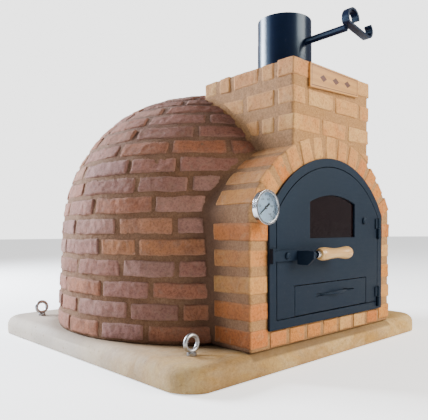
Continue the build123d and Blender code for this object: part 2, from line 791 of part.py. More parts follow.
# ------------------------------------------------------------------ lift-off hinges
HINGE_WING = 3
wing_back = PLATE_FRONT_Y
leaf_wing_start = 204
frame_wing_end = 238


def hinge_half(foot, wing_x, bore):
    """Knuckle round the hinge axis with a flat wing to one side of it."""
    with BuildPart() as half:
        with BuildSketch(Plane.XY.offset(foot)):
            with Locations((HINGE_X, HINGE_Y)):
                Circle(HINGE_RADIUS)
            with Locations(((HINGE_X + wing_x) / 2, wing_back - HINGE_WING / 2)):
                Rectangle(abs(wing_x - HINGE_X), HINGE_WING)
            with Locations((HINGE_X, HINGE_Y)):
                Circle(bore, mode=Mode.SUBTRACT)
        extrude(amount=HINGE_KNUCKLE)
    return half.part


frame_halves = [hinge_half(foot, frame_wing_end, HINGE_PIN_RADIUS) for foot in HINGE_FEET]
leaf_halves = [
    hinge_half(foot + HINGE_KNUCKLE + 0.5, leaf_wing_start, HINGE_PIN_RADIUS + RUNNING_GAP)
    for foot in HINGE_FEET
]
save_group(frame_halves, "hinge_frame_halves")
save_group(leaf_halves, "hinge_leaf_halves")
with BuildPart() as hinge_pins:
    for foot in HINGE_FEET:
        with BuildSketch(Plane.XY.offset(foot)):
            with Locations((HINGE_X, HINGE_Y)):
                Circle(HINGE_PIN_RADIUS)
        extrude(amount=2 * HINGE_KNUCKLE - 2)
save(hinge_pins.part, "hinge_pins")

# ------------------------------------------------------------------ latch
STRAP_HALF_HEIGHT = 13.5
STRAP_TIP = -247
STRAP_END = -157
STRAP_FRONT = -495
STRAP_BACK = -491
ARM_FOOT = 247
ARM_TOP = 281
ARM_FRONT = -538
ARM_END = -153  # right face of the bar at the grip
FERRULE_START = -142
TANG_RADIUS = 4
WASHER_RADIUS = 10

with BuildPart() as latch_keeper:
    with BuildSketch(upright(PLATE_FRONT_Y)):
        with Locations((-253.4, LATCH_Z)):
            Rectangle(7.2, 34)
        with Locations((-246.5, LATCH_Z + 15)):
            Rectangle(21, 4)
    extrude(amount=11)
save(latch_keeper.part, "latch_keeper")

with BuildPart() as latch_strap:
    with BuildSketch(upright(STRAP_BACK)):
        with Locations(((STRAP_TIP + STRAP_END) / 2, LATCH_Z)):
            RectangleRounded(STRAP_END - STRAP_TIP, 2 * STRAP_HALF_HEIGHT - 2, 4)
        with Locations((LATCH_X, LATCH_Z)):
            Circle(PIVOT_RADIUS + RUNNING_GAP, mode=Mode.SUBTRACT)
    extrude(amount=STRAP_BACK - STRAP_FRONT)
save(latch_strap.part, "latch_strap")

# The bar is turned on edge and stands away from the door, with a tang through the grip.
with BuildPart() as latch_arm:
    with BuildSketch(Plane.XY.offset(ARM_FOOT)):
        Polygon(
            (STRAP_END - 10, STRAP_FRONT),
            (STRAP_END, STRAP_FRONT),
            (ARM_END, ARM_FRONT),
            (ARM_END - 8, ARM_FRONT),
            align=None,
        )
    extrude(amount=ARM_TOP - ARM_FOOT)
    with BuildSketch(Plane.YZ.offset(STRAP_END - 20)):
        Polygon(
            (STRAP_FRONT, ARM_FOOT + 1),
            (ARM_FRONT + 16, ARM_FOOT),
            (ARM_FRONT, LATCH_Z - 8),
            (ARM_FRONT, LATCH_Z + 9),
            (ARM_FRONT + 16, ARM_TOP),
            (STRAP_FRONT, ARM_TOP - 1),
            align=None,
        )
    extrude(amount=40, mode=Mode.INTERSECT)
    with BuildSketch(Plane.YZ.offset(ARM_END - 3)):
        with Locations((GRIP_Y, LATCH_Z + 2)):
            Circle(TANG_RADIUS)
    extrude(amount=120)
save(latch_arm.part, "latch_arm")


def turned(points):
    """Solid turned about the grip's axis from (x, radius) points, bored for the tang."""
    with BuildPart() as piece:
        with BuildSketch(Plane.XY.offset(LATCH_Z + 2)):
            with BuildLine():
                start = (points[0][0], GRIP_Y - points[0][1])
                finish = (points[-1][0], GRIP_Y - points[-1][1])
                Polyline(finish, (points[-1][0], GRIP_Y), (points[0][0], GRIP_Y), start)
                Spline(*[(x, GRIP_Y - radius) for x, radius in points])
            make_face()
        revolve(axis=Axis((0, GRIP_Y, LATCH_Z + 2), (1, 0, 0)))
        with BuildSketch(Plane.YZ.offset(ARM_END - 3)):
            with Locations((GRIP_Y, LATCH_Z + 2)):
                Circle(TANG_RADIUS)
        extrude(amount=120, mode=Mode.SUBTRACT)
    return piece.part


with BuildPart() as latch_ferrule:
    with BuildSketch(Plane.YZ.offset(FERRULE_START)):
        with Locations((GRIP_Y, LATCH_Z + 2)):
            Circle(9)
            Circle(TANG_RADIUS, mode=Mode.SUBTRACT)
    extrude(amount=GRIP_START - FERRULE_START)
    fillet(latch_ferrule.edges().filter_by(GeomType.CIRCLE).sort_by(Axis.X)[-1], 1.5)
save(latch_ferrule.part, "latch_ferrule")

GRIP_PROFILE = [
    (GRIP_START, 12.5),
    (-120, 15.2),
    (-98, 14.5),
    (-62, 12.3),
    (-34, 14),
    (-14, 15.8),
    (-4, 13),
    (GRIP_END, 8),
]
latch_grip = turned(GRIP_PROFILE)
save(latch_grip, "latch_grip")

with BuildPart() as latch_washer:
    with BuildSketch(upright(PLATE_FRONT_Y)):
        with Locations((LATCH_X, LATCH_Z)):
            Circle(WASHER_RADIUS)
            Circle(PIVOT_RADIUS, mode=Mode.SUBTRACT)
    extrude(amount=PLATE_FRONT_Y - STRAP_BACK - 0.2)
save(latch_washer.part, "latch_washer")

with BuildPart() as latch_pivot_bolt:
    add(rod_along_y(PIVOT_RADIUS, LATCH_X, LATCH_Z, STRAP_FRONT - 0.3, LEAF_BACK_Y + 7))
    with BuildSketch(upright(STRAP_FRONT - 0.3)):
        with Locations((LATCH_X, LATCH_Z)):
            Circle(8)
    extrude(amount=5)
    fillet(latch_pivot_bolt.edges().filter_by(GeomType.CIRCLE).sort_by(Axis.Y)[0], 4)
    with BuildSketch(upright(LEAF_BACK_Y)):
        with Locations((LATCH_X, LATCH_Z)):
            RegularPolygon(9, 6)
    extrude(amount=-7)
save(latch_pivot_bolt.part, "latch_pivot_bolt")

# ------------------------------------------------------------------ drawer
drawer_back = LEAF_BACK_Y - 0.5
tray_half = DRAWER_WIDTH / 2 - 3
tray_foot = LEAF_FOOT + 4
TRAY_WALL = 1.5
PULL_X = 7
PULL_SLOTS = (
    ((-79, 170.5), (-79, 162), (-17, 163.5), (-17, 167.5)),
    ((40, 174.5), (94, 169.8), (94, 168.2), (40, 167)),
)
with BuildPart() as drawer_front:
    with BuildSketch(upright(drawer_back)):
        with Locations((DRAWER_X, (LEAF_FOOT + DRAWER_TOP + 1) / 2)):
            Rectangle(DRAWER_WIDTH, DRAWER_TOP - LEAF_FOOT - 1)
        for slot in PULL_SLOTS:
            Polygon(*slot, align=None, mode=Mode.SUBTRACT)
    extrude(amount=drawer_back - PLATE_FRONT_Y)
save(drawer_front.part, "drawer_front")

# The pull is a bowed strip whose ends pass through the two slots and are welded to the tray's front.
PULL_HALF_WIDTH = 66
PULL_REACH = 16
PULL_THICKNESS = 2.5
PULL_OUTLINE = (
    (-59, 168),
    (-35, 168),
    (7, 172),
    (73, 171),
    (73, 168.8),
    (48, 168.4),
    (7, 163.5),
    (-35, 164.2),
    (-59, 164.2),
)
with BuildPart() as drawer_pull:
    with BuildSketch(Plane.XY.offset(160)):
        with BuildLine():
            left = PULL_X - PULL_HALF_WIDTH
            right = PULL_X + PULL_HALF_WIDTH
            peak = drawer_back - PULL_REACH
            outer = ThreePointArc((left, drawer_back), (PULL_X, peak), (right, drawer_back))
            inner = ThreePointArc(
                (left + 10, drawer_back), (PULL_X, peak + PULL_THICKNESS), (right - 10, drawer_back)
            )
            Line(outer @ 0, inner @ 0)
            Line(outer @ 1, inner @ 1)
        make_face()
    extrude(amount=20)
    with BuildSketch(upright(drawer_back)):
        Polygon(*PULL_OUTLINE, align=None)
    extrude(amount=PULL_REACH + 2, mode=Mode.INTERSECT)
save(drawer_pull.part, "drawer_pull")

with BuildPart() as drawer_tray:
    with BuildSketch(upright(drawer_back)):
        with Locations((DRAWER_X, tray_foot + DRAWER_TRAY_HEIGHT / 2)):
            Rectangle(2 * tray_half, DRAWER_TRAY_HEIGHT)
    extrude(amount=-DRAWER_TRAY_DEPTH)
    with BuildSketch(Plane.XY.offset(tray_foot + TRAY_WALL)):
        with Locations((DRAWER_X, drawer_back + DRAWER_TRAY_DEPTH / 2)):
            Rectangle(2 * (tray_half - TRAY_WALL), DRAWER_TRAY_DEPTH - 2 * TRAY_WALL)
    extrude(amount=DRAWER_TRAY_HEIGHT, mode=Mode.SUBTRACT)
save(drawer_tray.part, "drawer_tray")

GUIDE = 2.5


def drawer_guide(side):
    """Angle on the back of the leaf that the tray's side slides in."""
    wall = DRAWER_X + side * (tray_half + 0.5 + GUIDE / 2)
    lip = DRAWER_X + side * (tray_half - 4)
    with BuildPart() as guide:
        with BuildSketch(upright(LEAF_BACK_Y)):
            with Locations((wall, tray_foot + DRAWER_TRAY_HEIGHT / 2 - 2)):
                Rectangle(GUIDE, DRAWER_TRAY_HEIGHT + 4)
            with Locations(((wall + lip) / 2, tray_foot - 0.5 - GUIDE / 2)):
                Rectangle(abs(wall - lip) + GUIDE, GUIDE)
        extrude(amount=-(DRAWER_TRAY_DEPTH - 10))
    return guide.part


guides = [drawer_guide(-1), drawer_guide(1)]
save_group(guides, "drawer_guides")

# ------------------------------------------------------------------ thermometer
CASE_BACK = -499
CASE_FRONT = -508
BEZEL_FRONT = -511
BEZEL_WALL = 2
BEZEL_LIP = 3
CASE_RADIUS = THERMOMETER_RADIUS - BEZEL_WALL
CASE_WALL = 2
NECK_RADIUS = 9
LENS = 2
DIAL_THICKNESS = 1


def ring_along_y(outer, inner, front, back):
    """Ring about the thermometer's axis."""
    with BuildPart() as ring:
        with BuildSketch(upright(front)):
            with Locations((THERMOMETER_X, THERMOMETER_Z)):
                Circle(outer)
                Circle(inner, mode=Mode.SUBTRACT)
        extrude(amount=front - back)
    return ring.part


with BuildPart() as thermometer_case:
    add(rod_along_y(CASE_RADIUS, THERMOMETER_X, THERMOMETER_Z, CASE_FRONT, CASE_BACK))
    with BuildSketch(upright(CASE_FRONT)):
        with Locations((THERMOMETER_X, THERMOMETER_Z)):
            Circle(CASE_RADIUS - CASE_WALL)
    extrude(amount=CASE_FRONT - CASE_BACK + CASE_WALL, mode=Mode.SUBTRACT)
    add(rod_along_y(NECK_RADIUS, THERMOMETER_X, THERMOMETER_Z, CASE_BACK, FRONT_Y))
    stem_hole = rod_along_y(STEM_RADIUS, THERMOMETER_X, THERMOMETER_Z, CASE_BACK, FRONT_Y)
    add(stem_hole, mode=Mode.SUBTRACT)
save(thermometer_case.part, "thermometer_case")
save(
    rod_along_y(STEM_RADIUS, THERMOMETER_X, THERMOMETER_Z, CASE_BACK, STEM_BACK_Y),
    "thermometer_stem",
)
with BuildPart() as thermometer_bezel:
    add(ring_along_y(THERMOMETER_RADIUS, CASE_RADIUS, BEZEL_FRONT, CASE_BACK))
    add(ring_along_y(CASE_RADIUS, CASE_RADIUS - BEZEL_LIP, BEZEL_FRONT, CASE_FRONT))
    fillet(thermometer_bezel.edges().filter_by(GeomType.CIRCLE).group_by(Axis.Y)[0], 0.9)
save(thermometer_bezel.part, "thermometer_bezel")
lens_radius = CASE_RADIUS - CASE_WALL
save(
    rod_along_y(lens_radius, THERMOMETER_X, THERMOMETER_Z, CASE_FRONT, CASE_FRONT + LENS),
    "thermometer_lens",
)
SPINDLE_RADIUS = 1
SPINDLE_LENGTH = 3
dial_front = CASE_BACK - CASE_WALL - DIAL_THICKNESS
with BuildPart() as thermometer_dial:
    add(rod_along_y(lens_radius, THERMOMETER_X, THERMOMETER_Z, dial_front, CASE_BACK - CASE_WALL))
    spindle_front = dial_front - SPINDLE_LENGTH
    add(rod_along_y(SPINDLE_RADIUS, THERMOMETER_X, THERMOMETER_Z, spindle_front, dial_front))
save(thermometer_dial.part, "thermometer_dial")

NEEDLE_LONG = 26
NEEDLE_SHORT = 14
NEEDLE_TAIL_HALF = 2.2
NEEDLE_TIP_HALF = 0.6
NEEDLE_HUB = 3.6
NEEDLE_ANGLE = 217
NEEDLE_OUTLINE = (
    (-NEEDLE_SHORT, -NEEDLE_TAIL_HALF),
    (NEEDLE_LONG, -NEEDLE_TIP_HALF),
    (NEEDLE_LONG, NEEDLE_TIP_HALF),
    (-NEEDLE_SHORT, NEEDLE_TAIL_HALF),
)
with BuildPart() as thermometer_needle:
    with BuildSketch(upright(dial_front - 1)):
        with Locations(Location((THERMOMETER_X, THERMOMETER_Z, 0), (0, 0, NEEDLE_ANGLE))):
            Polygon(*NEEDLE_OUTLINE, align=None)
        with Locations((THERMOMETER_X, THERMOMETER_Z)):
            Circle(NEEDLE_HUB)
            Circle(SPINDLE_RADIUS + RUNNING_GAP, mode=Mode.SUBTRACT)
    extrude(amount=1)
save(thermometer_needle.part, "thermometer_needle")
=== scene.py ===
import json
import math
import random

import bmesh
import bpy
import numpy as np
from mathutils import Matrix, Vector, noise


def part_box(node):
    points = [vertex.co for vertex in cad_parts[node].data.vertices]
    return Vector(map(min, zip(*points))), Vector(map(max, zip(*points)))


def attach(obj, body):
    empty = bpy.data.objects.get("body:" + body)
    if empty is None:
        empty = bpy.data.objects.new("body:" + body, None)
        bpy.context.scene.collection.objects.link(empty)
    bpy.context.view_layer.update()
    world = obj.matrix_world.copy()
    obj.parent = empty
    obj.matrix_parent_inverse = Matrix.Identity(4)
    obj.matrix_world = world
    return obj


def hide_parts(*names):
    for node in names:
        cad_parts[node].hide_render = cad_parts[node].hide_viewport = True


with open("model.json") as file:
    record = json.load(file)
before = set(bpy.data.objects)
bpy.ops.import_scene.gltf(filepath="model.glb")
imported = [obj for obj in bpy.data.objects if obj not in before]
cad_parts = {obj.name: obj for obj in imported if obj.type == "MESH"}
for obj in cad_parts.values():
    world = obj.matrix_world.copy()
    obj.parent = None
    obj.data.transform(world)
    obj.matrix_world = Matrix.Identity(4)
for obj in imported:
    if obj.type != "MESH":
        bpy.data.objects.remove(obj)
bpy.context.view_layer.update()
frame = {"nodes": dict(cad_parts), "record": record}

nodes = frame["nodes"]
SLOTS = {part["node"]: part["material_slot"] for part in frame["record"]["subparts"]}
BODIES = frame["record"]["behaviour"]["bodies"]
BODY_OF = {node: body for body, members in BODIES.items() for node in members}
MM = 0.001

# ------------------------------------------------------------------ masonry outline, as in the CAD part
OVEN_X = -7 * MM
SLAB_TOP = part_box("base_slab")[1].z
FRONT_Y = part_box("sill_bricks")[0].y
ARCH_CENTRE_Z = 221 * MM
PORCH_HALF_WIDTH = 307 * MM
PORCH_RADIUS = 347 * MM
PORCH_WALL = 64 * MM
SILL_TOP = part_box("door_frame")[0].z
DOME_RECESS = 3.8 * MM
FRONT_RECESS = 2.4 * MM
ARCH_RECESS = 3.8 * MM  # the bricks' flat outer faces lie inside the arch
DOME_FOOT_RADIUS = 472 * MM
DOME_WAIST_RADIUS = 458 * MM
DOME_WAIST_HEIGHT = 266 * MM
DOME_TOP = 748 * MM
DOME_POWER = 2.2
FLUE_AXIS = Vector(((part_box("flue_pipe")[0].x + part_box("flue_pipe")[1].x) / 2, -315 * MM))


# ------------------------------------------------------------------ mesh helpers
def new_object(name, mesh, body, slot, *replaced):
    """Object in the scene that rides on a body and stands for the CAD nodes given; the slot argument is not
    used.
    """
    piece = bpy.data.objects.new(name, mesh)
    bpy.context.scene.collection.objects.link(piece)
    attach(piece, body)
    if replaced:
        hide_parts(*replaced)
    return piece


def apply_modifiers(piece):
    """Replace a piece's mesh with what its modifiers make of it."""
    bpy.context.view_layer.update()
    evaluated = piece.evaluated_get(bpy.context.evaluated_depsgraph_get())
    mesh = bpy.data.meshes.new_from_object(evaluated)
    piece.modifiers.clear()
    piece.data = mesh
    return piece


def remeshed(mesh, voxel):
    """Even quads of one voxel's size over the closed shapes of a mesh."""
    scratch = bpy.data.objects.new("scratch", mesh)
    bpy.context.scene.collection.objects.link(scratch)
    modifier = scratch.modifiers.new("remesh", "REMESH")
    modifier.mode = "VOXEL"
    modifier.voxel_size = voxel
    apply_modifiers(scratch)
    result = scratch.data
    bpy.data.objects.remove(scratch)
    return result


def points_of(mesh):
    """Vertex positions as an array."""
    points = np.zeros(len(mesh.vertices) * 3)
    mesh.vertices.foreach_get("co", points)
    return points.reshape(-1, 3)


def set_points(mesh, points):
    mesh.vertices.foreach_set("co", points.astype(np.float32).ravel())
    mesh.update()


def edges_of(mesh):
    """Edges as an array of vertex pairs."""
    edges = np.zeros(len(mesh.edges) * 2, dtype=np.int64)
    mesh.edges.foreach_get("vertices", edges)
    return edges.reshape(-1, 2)


def normals_of(mesh):
    """Vertex normals as an array."""
    normals = np.zeros(len(mesh.vertices) * 3)
    mesh.vertices.foreach_get("normal", normals)
    return normals.reshape(-1, 3)


def relaxed(points, edges, rounds, strength=0.5):
    """Points drawn towards the middle of their neighbours, which rounds corners."""
    count = len(points)
    degree = np.bincount(edges.ravel(), minlength=count).clip(min=1)[:, None]
    for _ in range(rounds):
        total = np.empty_like(points)
        for axis in range(3):
            total[:, axis] = np.bincount(edges[:, 0], points[edges[:, 1], axis], count)
            total[:, axis] += np.bincount(edges[:, 1], points[edges[:, 0], axis], count)
        points = points + strength * (total / degree - points)
    return points


def islands_of(mesh):
    """Island number of each vertex, counted from 0."""
    edges = edges_of(mesh)
    label = np.arange(len(mesh.vertices))
    while True:
        lowest = np.minimum(label[edges[:, 0]], label[edges[:, 1]])
        updated = label.copy()
        np.minimum.at(updated, edges[:, 0], lowest)
        np.minimum.at(updated, edges[:, 1], lowest)
        updated = updated[updated]
        if np.array_equal(updated, label):
            return np.unique(label, return_inverse=True)[1]
        label = updated


def wobble(points, size, shift=0.0):
    """Smooth vector noise at each point, with features of about the given size."""
    scale = 1 / size
    return np.array([noise.noise_vector(Vector(p) * scale + Vector((shift, 0, 0))) for p in points])


def bumps(points, size, shift=0.0):
    """Smooth noise from about -1 to 1 at each point, with features of about the given size."""
    scale = 1 / size
    return np.array([noise.noise(Vector(p) * scale + Vector((shift, 0, 0))) for p in points])


def write_attribute(mesh, name, values):
    """Store one number for each vertex, for the materials to read."""
    attribute = mesh.attributes.new(name, "FLOAT", "POINT")
    attribute.data.foreach_set("value", np.asarray(values, dtype=np.float32))


def shade_smooth(mesh):
    mesh.polygons.foreach_set("use_smooth", [True] * len(mesh.polygons))


# ------------------------------------------------------------------ node helpers
def linear(red, green, blue):
    """Colour from its 0 to 255 screen values to the linear values that shaders use."""
    return tuple(
        (c / 12.92 if c <= 0.04045 else ((c + 0.055) / 1.055) ** 2.4)
        for c in (red / 255, green / 255, blue / 255)
    ) + (1.0,)


class Graph:
    """Short names for building a material's nodes."""

    def __init__(self, name):
        self.material = bpy.data.materials.new(name)
        self.material.use_nodes = True
        self.tree = self.material.node_tree
        self.shader = self.tree.nodes["Principled BSDF"]
        self.place = self.add("ShaderNodeTexCoord").outputs["Object"]

    def add(self, kind, **settings):
        node = self.tree.nodes.new(kind)
        for key, value in settings.items():
            setattr(node, key, value)
        return node

    def link(self, source, target):
        self.tree.links.new(source, target)

    def feed(self, value, target):
        """Link an output to an input, or set the input to a constant."""
        if isinstance(value, bpy.types.NodeSocket):
            self.link(value, target)
        else:
            target.default_value = value

    def noise(self, scale, detail=3.0, roughness=0.55, distortion=0.0, place=None):
        node = self.add("ShaderNodeTexNoise")
        node.inputs["Scale"].default_value = scale
        node.inputs["Detail"].default_value = detail
        node.inputs["Roughness"].default_value = roughness
        node.inputs["Distortion"].default_value = distortion
        self.link(place or self.place, node.inputs["Vector"])
        return node.outputs["Fac"]

    def pits(self, scale, place=None):
        node = self.add("ShaderNodeTexVoronoi", feature="F1")
        node.inputs["Scale"].default_value = scale
        self.link(place or self.place, node.inputs["Vector"])
        return node.outputs["Distance"]

    def attribute(self, name):
        return self.add("ShaderNodeAttribute", attribute_name=name).outputs["Fac"]

    def stretched(self, scale):
        node = self.add("ShaderNodeMapping")
        node.inputs["Scale"].default_value = scale
        self.link(self.place, node.inputs["Vector"])
        return node.outputs["Vector"]

    def spread(self, value, low, high, start=0.0, end=1.0):
        """Map low..high to start..end, clamped."""
        node = self.add("ShaderNodeMapRange")
        for name, number in (("From Min", low), ("From Max", high), ("To Min", start), ("To Max", end)):
            node.inputs[name].default_value = number
        self.link(value, node.inputs["Value"])
        return node.outputs["Result"]

    def ramp(self, value, *stops):
        """Colour ramp with (position, colour) stops."""
        node = self.add("ShaderNodeValToRGB")
        elements = node.color_ramp.elements
        while len(elements) < len(stops):
            elements.new(0.5)
        for element, (position, colour) in zip(elements, stops):
            element.position = position
            element.color = colour
        self.link(value, node.inputs["Fac"])
        return node.outputs["Color"]

    def mix(self, share, first, second, blend="MIX"):
        node = self.add("ShaderNodeMix", data_type="RGBA", blend_type=blend)
        self.feed(share, node.inputs["Factor"])
        self.feed(first, node.inputs[6])
        self.feed(second, node.inputs[7])
        return node.outputs[2]

    def math(self, operation, first, second=0.5):
        node = self.add("ShaderNodeMath", operation=operation)
        self.feed(first, node.inputs[0])
        self.feed(second, node.inputs[1])
        return node.outputs[0]

    def height(self, *layers):
        """Bump from (height, distance) layers, one on the other."""
        normal = None
        for value, distance in layers:
            node = self.add("ShaderNodeBump")
            node.inputs["Distance"].default_value = distance
            node.inputs["Strength"].default_value = 1.0
            self.link(value, node.inputs["Height"])
            if normal is not None:
                self.link(normal, node.inputs["Normal"])
            normal = node.outputs["Normal"]
        self.link(normal, self.shader.inputs["Normal"])

    def finish(self, colour=None, rough=None, **constants):
        if colour is not None:
            self.feed(colour, self.shader.inputs["Base Color"])
        if rough is not None:
            self.feed(rough, self.shader.inputs["Roughness"])
        for name, value in constants.items():
            self.shader.inputs[name.replace("_", " ")].default_value = value
        return self.material


# ------------------------------------------------------------------ materials
def brick_material(name, tints, dust, grime, side_shade_colour=None, pale_colour=None):
    """Fired clay: a tint for each brick, cloudy firing marks, sandy grain, pits and mortar dust, with
    painted shade on faces turned away from the front.
    """
    g = Graph(name)
    tint = g.ramp(g.attribute("tint"), *[(k / (len(tints) - 1), c) for k, c in enumerate(tints)])
    cloud = g.spread(g.noise(22, 5, 0.6, 0.4), 0.35, 0.7)
    if pale_colour:
        tint = g.mix(g.math("MULTIPLY", g.attribute("pale"), 0.5), tint, pale_colour)
    fired = g.mix(g.math("MULTIPLY", cloud, 0.55), tint, grime)
    grain = g.noise(170, 6, 0.8)
    speckle = g.ramp(grain, (0.34, (0.22, 0.21, 0.20, 1)), (0.66, (0.80, 0.78, 0.76, 1)))
    sandy = g.mix(0.75, fired, speckle, "OVERLAY")
    smear = g.spread(g.noise(38, 6, 0.65, 0.8), 0.52, 0.74, 0, 0.6)
    edge = g.attribute("edge")
    dusty = g.mix(g.math("MAXIMUM", smear, g.math("MULTIPLY", edge, 0.4)), sandy, dust)
    pit = g.spread(g.pits(260), 0.0, 0.22)
    speck = g.spread(g.noise(170, 2, 0.5), 0.60, 0.68)
    dark = g.mix(g.math("MULTIPLY", speck, 0.18), dusty, linear(70, 50, 42))
    # painted shade: faces turned away from the front are multiplied darker, most of all low down
    if side_shade_colour:
        dark = g.mix(g.math("MULTIPLY", g.attribute("side_shade"), 0.85), dark, side_shade_colour, "MULTIPLY")
    rough = g.spread(grain, 0.2, 0.8, 0.82, 0.96)
    g.height((g.noise(60, 5, 0.6), 0.0016), (grain, 0.0016), (pit, 0.0004))
    return g.finish(dark, rough, Specular_IOR_Level=0.25)


def mortar_material(name, low_colour, high_colour, front_colour):
    """Sand and lime mortar: brown round the dome, darker at the crown and tan at the front, browner as
    painted shade on faces turned sideways, with painted crease shade and stain by the porch.
    """
    g = Graph(name)
    lift = g.attribute("lift")
    front = g.attribute("front")
    body = g.mix(lift, low_colour, high_colour)
    body = g.mix(front, body, front_colour)
    blotch = g.spread(g.noise(9, 5, 0.6, 0.5), 0.3, 0.72)
    body = g.mix(g.math("MULTIPLY", blotch, 0.25), body, linear(160, 132, 106))
    grain = g.noise(190, 6, 0.85)
    speckle = g.ramp(grain, (0.34, (0.18, 0.17, 0.16, 1)), (0.66, (0.84, 0.82, 0.80, 1)))
    body = g.mix(0.6, body, speckle, "OVERLAY")
    # painted crease shade with stain where the dome meets the porch, and darker along the foot
    stain = g.attribute("stain")
    body = g.mix(g.math("MULTIPLY", stain, 0.8), body, linear(74, 52, 40))
    grit = g.spread(g.pits(330), 0.05, 0.3)
    g.height((g.noise(70, 5, 0.65), 0.002), (grain, 0.0016), (grit, 0.0006))
    return g.finish(body, 0.95, Specular_IOR_Level=0.2)


def slab_material():
    """Floated concrete: trowel streaks, blotches, sand grain and a few blow holes, with painted shade at
    the feet of the dome and porch and at the front-left corner, and painted cool light at the left back.
    """
    g = Graph("floated_concrete")
    blotch = g.noise(5.5, 6, 0.62, 0.6)
    body = g.ramp(
        blotch, (0.32, linear(142, 104, 50)), (0.5, linear(178, 138, 72)), (0.68, linear(204, 170, 106))
    )
    streak = g.noise(11, 6, 0.6, 1.2, g.stretched((1.0, 3.5, 2.0)))
    body = g.mix(g.spread(streak, 0.35, 0.75, 0, 0.55), body, linear(196, 176, 142))
    grain = g.noise(150, 6, 0.8)
    speckle = g.ramp(grain, (0.34, (0.26, 0.25, 0.24, 1)), (0.66, (0.76, 0.75, 0.74, 1)))
    body = g.mix(0.5, body, speckle, "OVERLAY")
    hole = g.spread(g.pits(55), 0.03, 0.07)
    # painted cool light: the slab's left and back are paled towards a cool grey
    pale = g.mix(blotch, linear(160, 150, 138), linear(196, 188, 178))
    body = g.mix(g.math("MULTIPLY", g.attribute("pale"), 0.85), body, pale)
    fleck = g.spread(g.noise(85, 3, 0.6), 0.62, 0.7, 0, 0.45)
    body = g.mix(fleck, body, linear(128, 100, 66))
    # painted shade round the feet of the dome and porch and at the front-left corner
    painted_shade = g.attribute("stain")
    body = g.mix(g.math("MULTIPLY", painted_shade, 0.75), body, linear(98, 74, 48))
    g.height((g.noise(28, 5, 0.6), 0.0016), (grain, 0.0004), (hole, 0.0012))
    return g.finish(body, g.spread(blotch, 0.3, 0.7, 0.72, 0.9), Specular_IOR_Level=0.3)


def refractory_material():
    """Cast refractory, blackened by smoke in patches."""
    g = Graph("sooted_refractory")
    soot = g.spread(g.noise(7, 6, 0.6, 0.6), 0.38, 0.62)
    body = g.mix(soot, linear(178, 158, 130), linear(64, 56, 50))
    grain = g.noise(380, 4, 0.7)
    body = g.mix(0.5, body, g.ramp(grain, (0.3, (0.3, 0.3, 0.3, 1)), (0.75, (0.7, 0.7, 0.7, 1))), "OVERLAY")
    g.height((g.noise(45, 4, 0.6), 0.002), (grain, 0.0007))
    return g.finish(body, 0.95)


def fibre_material(name, colour):
    """Pressed mineral fibre, pale and matt."""
    g = Graph(name)
    strands = g.noise(240, 5, 0.8, 2.0, g.stretched((1, 1, 5)))
    body = g.ramp(strands, (0.3, tuple(0.7 * c for c in colour[:3]) + (1,)), (0.7, colour))
    g.height((strands, 0.0012))
    return g.finish(body, 0.98)


def painted_steel(name, colour, worn, rough_low, rough_high, coat):
    """Stove paint on sheet steel: faint orange peel, uneven gloss, dust and rubbed patches."""
    g = Graph(name)
    patch = g.noise(6, 5, 0.6, 0.4)
    body = g.mix(g.spread(patch, 0.4, 0.75, 0, 0.5), colour, worn)
    dust = g.spread(g.noise(130, 4, 0.7), 0.60, 0.78, 0, 0.12)
    body = g.mix(dust, body, linear(90, 92, 96))
    scuff = g.noise(30, 6, 0.7, 0.3, g.stretched((1, 1, 9)))
    wear = g.math("ADD", g.math("MULTIPLY", patch, 0.6), g.math("MULTIPLY", scuff, 0.4))
    rough = g.spread(wear, 0.3, 0.7, rough_low, rough_high)
    g.height((g.noise(700, 2, 0.5), 0.00004), (g.noise(25, 3, 0.5), 0.0004))
    tint = (0.55, 0.8, 1.0, 1.0)
    return g.finish(
        body, rough, Specular_IOR_Level=0.3, Specular_Tint=tint, Coat_Weight=coat, Coat_Roughness=0.18
    )


def plated_steel(name, colour, rough_low, rough_high):
    """Bright plated steel with cloudy plating and fine scratches."""
    g = Graph(name)
    cloud = g.noise(80, 5, 0.6)
    scratch = g.noise(900, 3, 0.6, 0.0, g.stretched((1, 1, 14)))
    body = g.mix(g.spread(cloud, 0.4, 0.75, 0, 0.6), colour, tuple(0.55 * c for c in colour[:3]) + (1,))
    wear = g.math("ADD", g.math("MULTIPLY", cloud, 0.5), g.math("MULTIPLY", scratch, 0.5))
    rough = g.spread(wear, 0.3, 0.7, rough_low, rough_high)
    g.height((scratch, 0.00005))
    return g.finish(body, rough, Metallic=1.0)


def wood_material(name, light, dark, grain_axis, coat):
    """Varnished wood with drawn-out growth rings, fibres and a knot or two."""
    g = Graph(name)
    along = {"x": (1.2, 14, 14), "z": (14, 14, 1.2)}[grain_axis]
    fine = {"x": (6, 160, 160), "z": (160, 160, 6)}[grain_axis]
    rings = g.add("ShaderNodeTexWave", wave_type="RINGS")
    rings.inputs["Scale"].default_value = 1.6
    rings.inputs["Distortion"].default_value = 3.0
    rings.inputs["Detail"].default_value = 3.0
    g.link(g.stretched(along), rings.inputs["Vector"])
    fibre = g.noise(9, 4, 0.7, 0.2, g.stretched(fine))
    body = g.mix(g.spread(rings.outputs["Fac"], 0.1, 0.95, 0, 0.6), light, dark)
    body = g.mix(g.spread(fibre, 0.45, 0.8, 0, 0.45), body, tuple(0.6 * c for c in dark[:3]) + (1,))
    g.height((fibre, 0.00015))
    return g.finish(body, g.spread(fibre, 0.3, 0.8, 0.32, 0.5), Coat_Weight=coat, Coat_Roughness=0.2)


